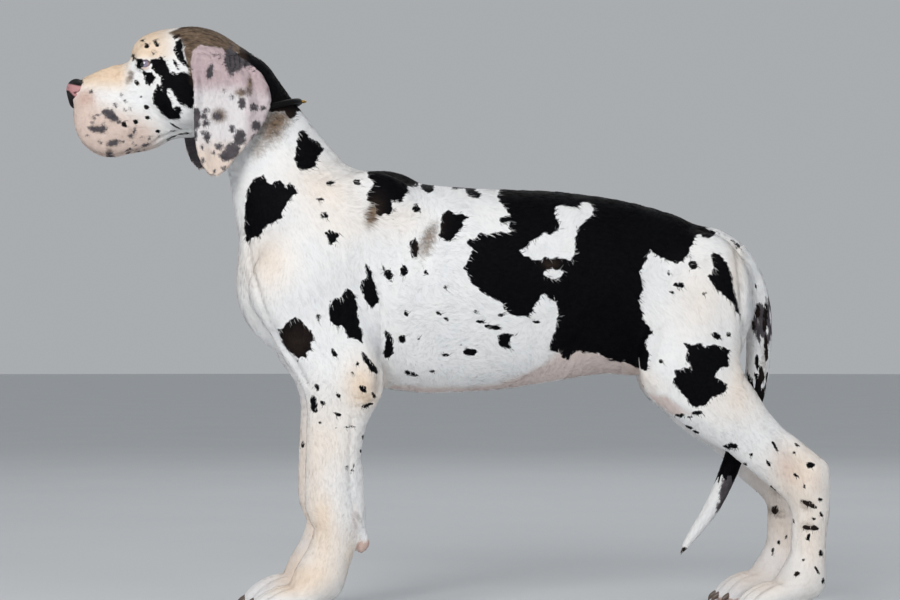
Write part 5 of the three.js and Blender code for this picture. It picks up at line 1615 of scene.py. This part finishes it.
# Swept bars, for claws, the collar and its ring
def bar_mesh(path, radii, sides=12, closed=False, across=(0, 1, 0)):
    path = np.asarray(path, float)
    if closed:
        along = np.roll(path, -1, 0) - np.roll(path, 1, 0)
    else:
        along = np.gradient(path, axis=0)
    along /= np.linalg.norm(along, axis=1)[:, None]
    side = np.cross(across, along)
    side /= np.linalg.norm(side, axis=1)[:, None]
    up = np.cross(along, side)
    a = 2 * np.pi * np.arange(sides) / sides
    rings = (np.cos(a)[None, :, None] * side[:, None] + np.sin(a)[None, :, None] * up[:, None])
    pts = (path[:, None] + rings * np.asarray(radii, float)[:, None, None]).reshape(-1, 3)
    count = len(path)
    faces = []
    for r in range(count if closed else count - 1):
        here, there = r * sides, ((r + 1) % count) * sides
        for i in range(sides):
            j = (i + 1) % sides
            faces.append((here + i, here + j, there + j, there + i))
    return pts, np.array(faces)


def joined(parts):
    pts, faces, start = [], [], 0
    for p, f in parts:
        pts.append(p)
        faces.append(f + start)
        start += len(p)
    return np.vstack(pts), np.vstack(faces)


claw_parts = []
for paw in PAWS:
    k = paw[2]
    for across, reach, lean in TOES:
        path = curve_points([
            paw_point(paw, 56 + reach, across * 1.02, 13.5),
            paw_point(paw, 68 + reach, across * 1.02 + lean * 0.3, 12.5),
            paw_point(paw, 75 + reach, across * 1.02 + lean * 0.6, 8),
            paw_point(paw, 78 + reach, across * 1.02 + lean, 3.2),
        ], np.linspace(0, 1, 14))
        radii = np.interp(np.linspace(0, 3, 14), [0, 1, 2, 3], [4.4 * k, 4.0 * k, 2.9 * k, 0.5])
        claw_parts.append(bar_mesh(path, radii, 12))
claws = mesh_object("claws", *joined(claw_parts))
horn = Nodes("claw_horn")
horn.set("Base Color", horn.mix(horn.noise(60, 2), rgb(128, 108, 96), rgb(62, 52, 47)))
horn.set("Roughness", 0.32)
horn.set("Normal", horn.bump(horn.noise(500, 2, stretch=(0.3, 1, 1)), 0.2, 0.0004))
claws.data.materials.append(horn.material)
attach(claws, "root")

# Collar and ring
COLLAR = {"centre": (-232, 0, 556), "slope": 0.46, "bow": 9, "lift": 0.8, "radius": 3.4}
RING = {"radius": 6.0, "wire": 1.3, "out": 0.8}
towards_nape = np.array([math.cos(COLLAR["slope"]), 0, math.sin(COLLAR["slope"])])
turn = np.linspace(0, 2 * np.pi, 28, endpoint=False)
ways = np.cos(turn)[:, None] * towards_nape + np.sin(turn)[:, None] * np.array([0, 1, 0])
clear = COLLAR["radius"] + 0.9 + COLLAR["lift"] * np.maximum(0, np.cos(turn)) ** 4
up_neck = np.array([-math.sin(COLLAR["slope"]), 0, math.cos(COLLAR["slope"])])
loop = np.array(COLLAR["centre"]) + 20 * ways + COLLAR["bow"] * (np.sin(turn) ** 2)[:, None] * up_neck
for _ in range(160):
    loop += 0.5 * ways * (field_at(BODY, loop) < clear)[:, None]
fine = curve_points(np.vstack([loop, loop[:1]]), np.linspace(0, 1, 140, endpoint=False))
collar = mesh_object("collar_leather", *bar_mesh(fine, np.full(len(fine), COLLAR["radius"]), 16, True,
                                                 up_neck))
leather = Nodes("rolled_leather")
leather.set("Base Color", leather.mix(leather.noise(180, 3), rgb(9, 9, 10), rgb(20, 19, 20)))
leather.set("Roughness", 0.5)
leather.set("Specular IOR Level", 0.08)
leather.set("Normal", leather.bump(leather.noise(1200, 2), 0.3, 0.0004))
collar.data.materials.append(leather.material)
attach(collar, "root")
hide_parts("collar")

ring_centre = loop[0] + RING["out"] * towards_nape
a = np.linspace(0, 2 * np.pi, 56, endpoint=False)
ring_path = ring_centre + RING["radius"] * np.stack([np.cos(a), np.sin(a), 0 * a], 1)
ring = mesh_object("brass_ring", *bar_mesh(ring_path, np.full(56, RING["wire"]), 14, True, (0, 0, 1)))
brass = Nodes("worn_brass")
brass.set("Base Color", brass.mix(brass.noise(240, 3), rgb(168, 126, 52), rgb(212, 176, 96)))
brass.set("Metallic", 1.0)
brass.set("Roughness", brass.ramp(brass.noise(300, 2), 0.3, 0.7, 0.18, 0.36))
ring.data.materials.append(brass.material)
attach(ring, "root")
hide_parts("collar_ring")
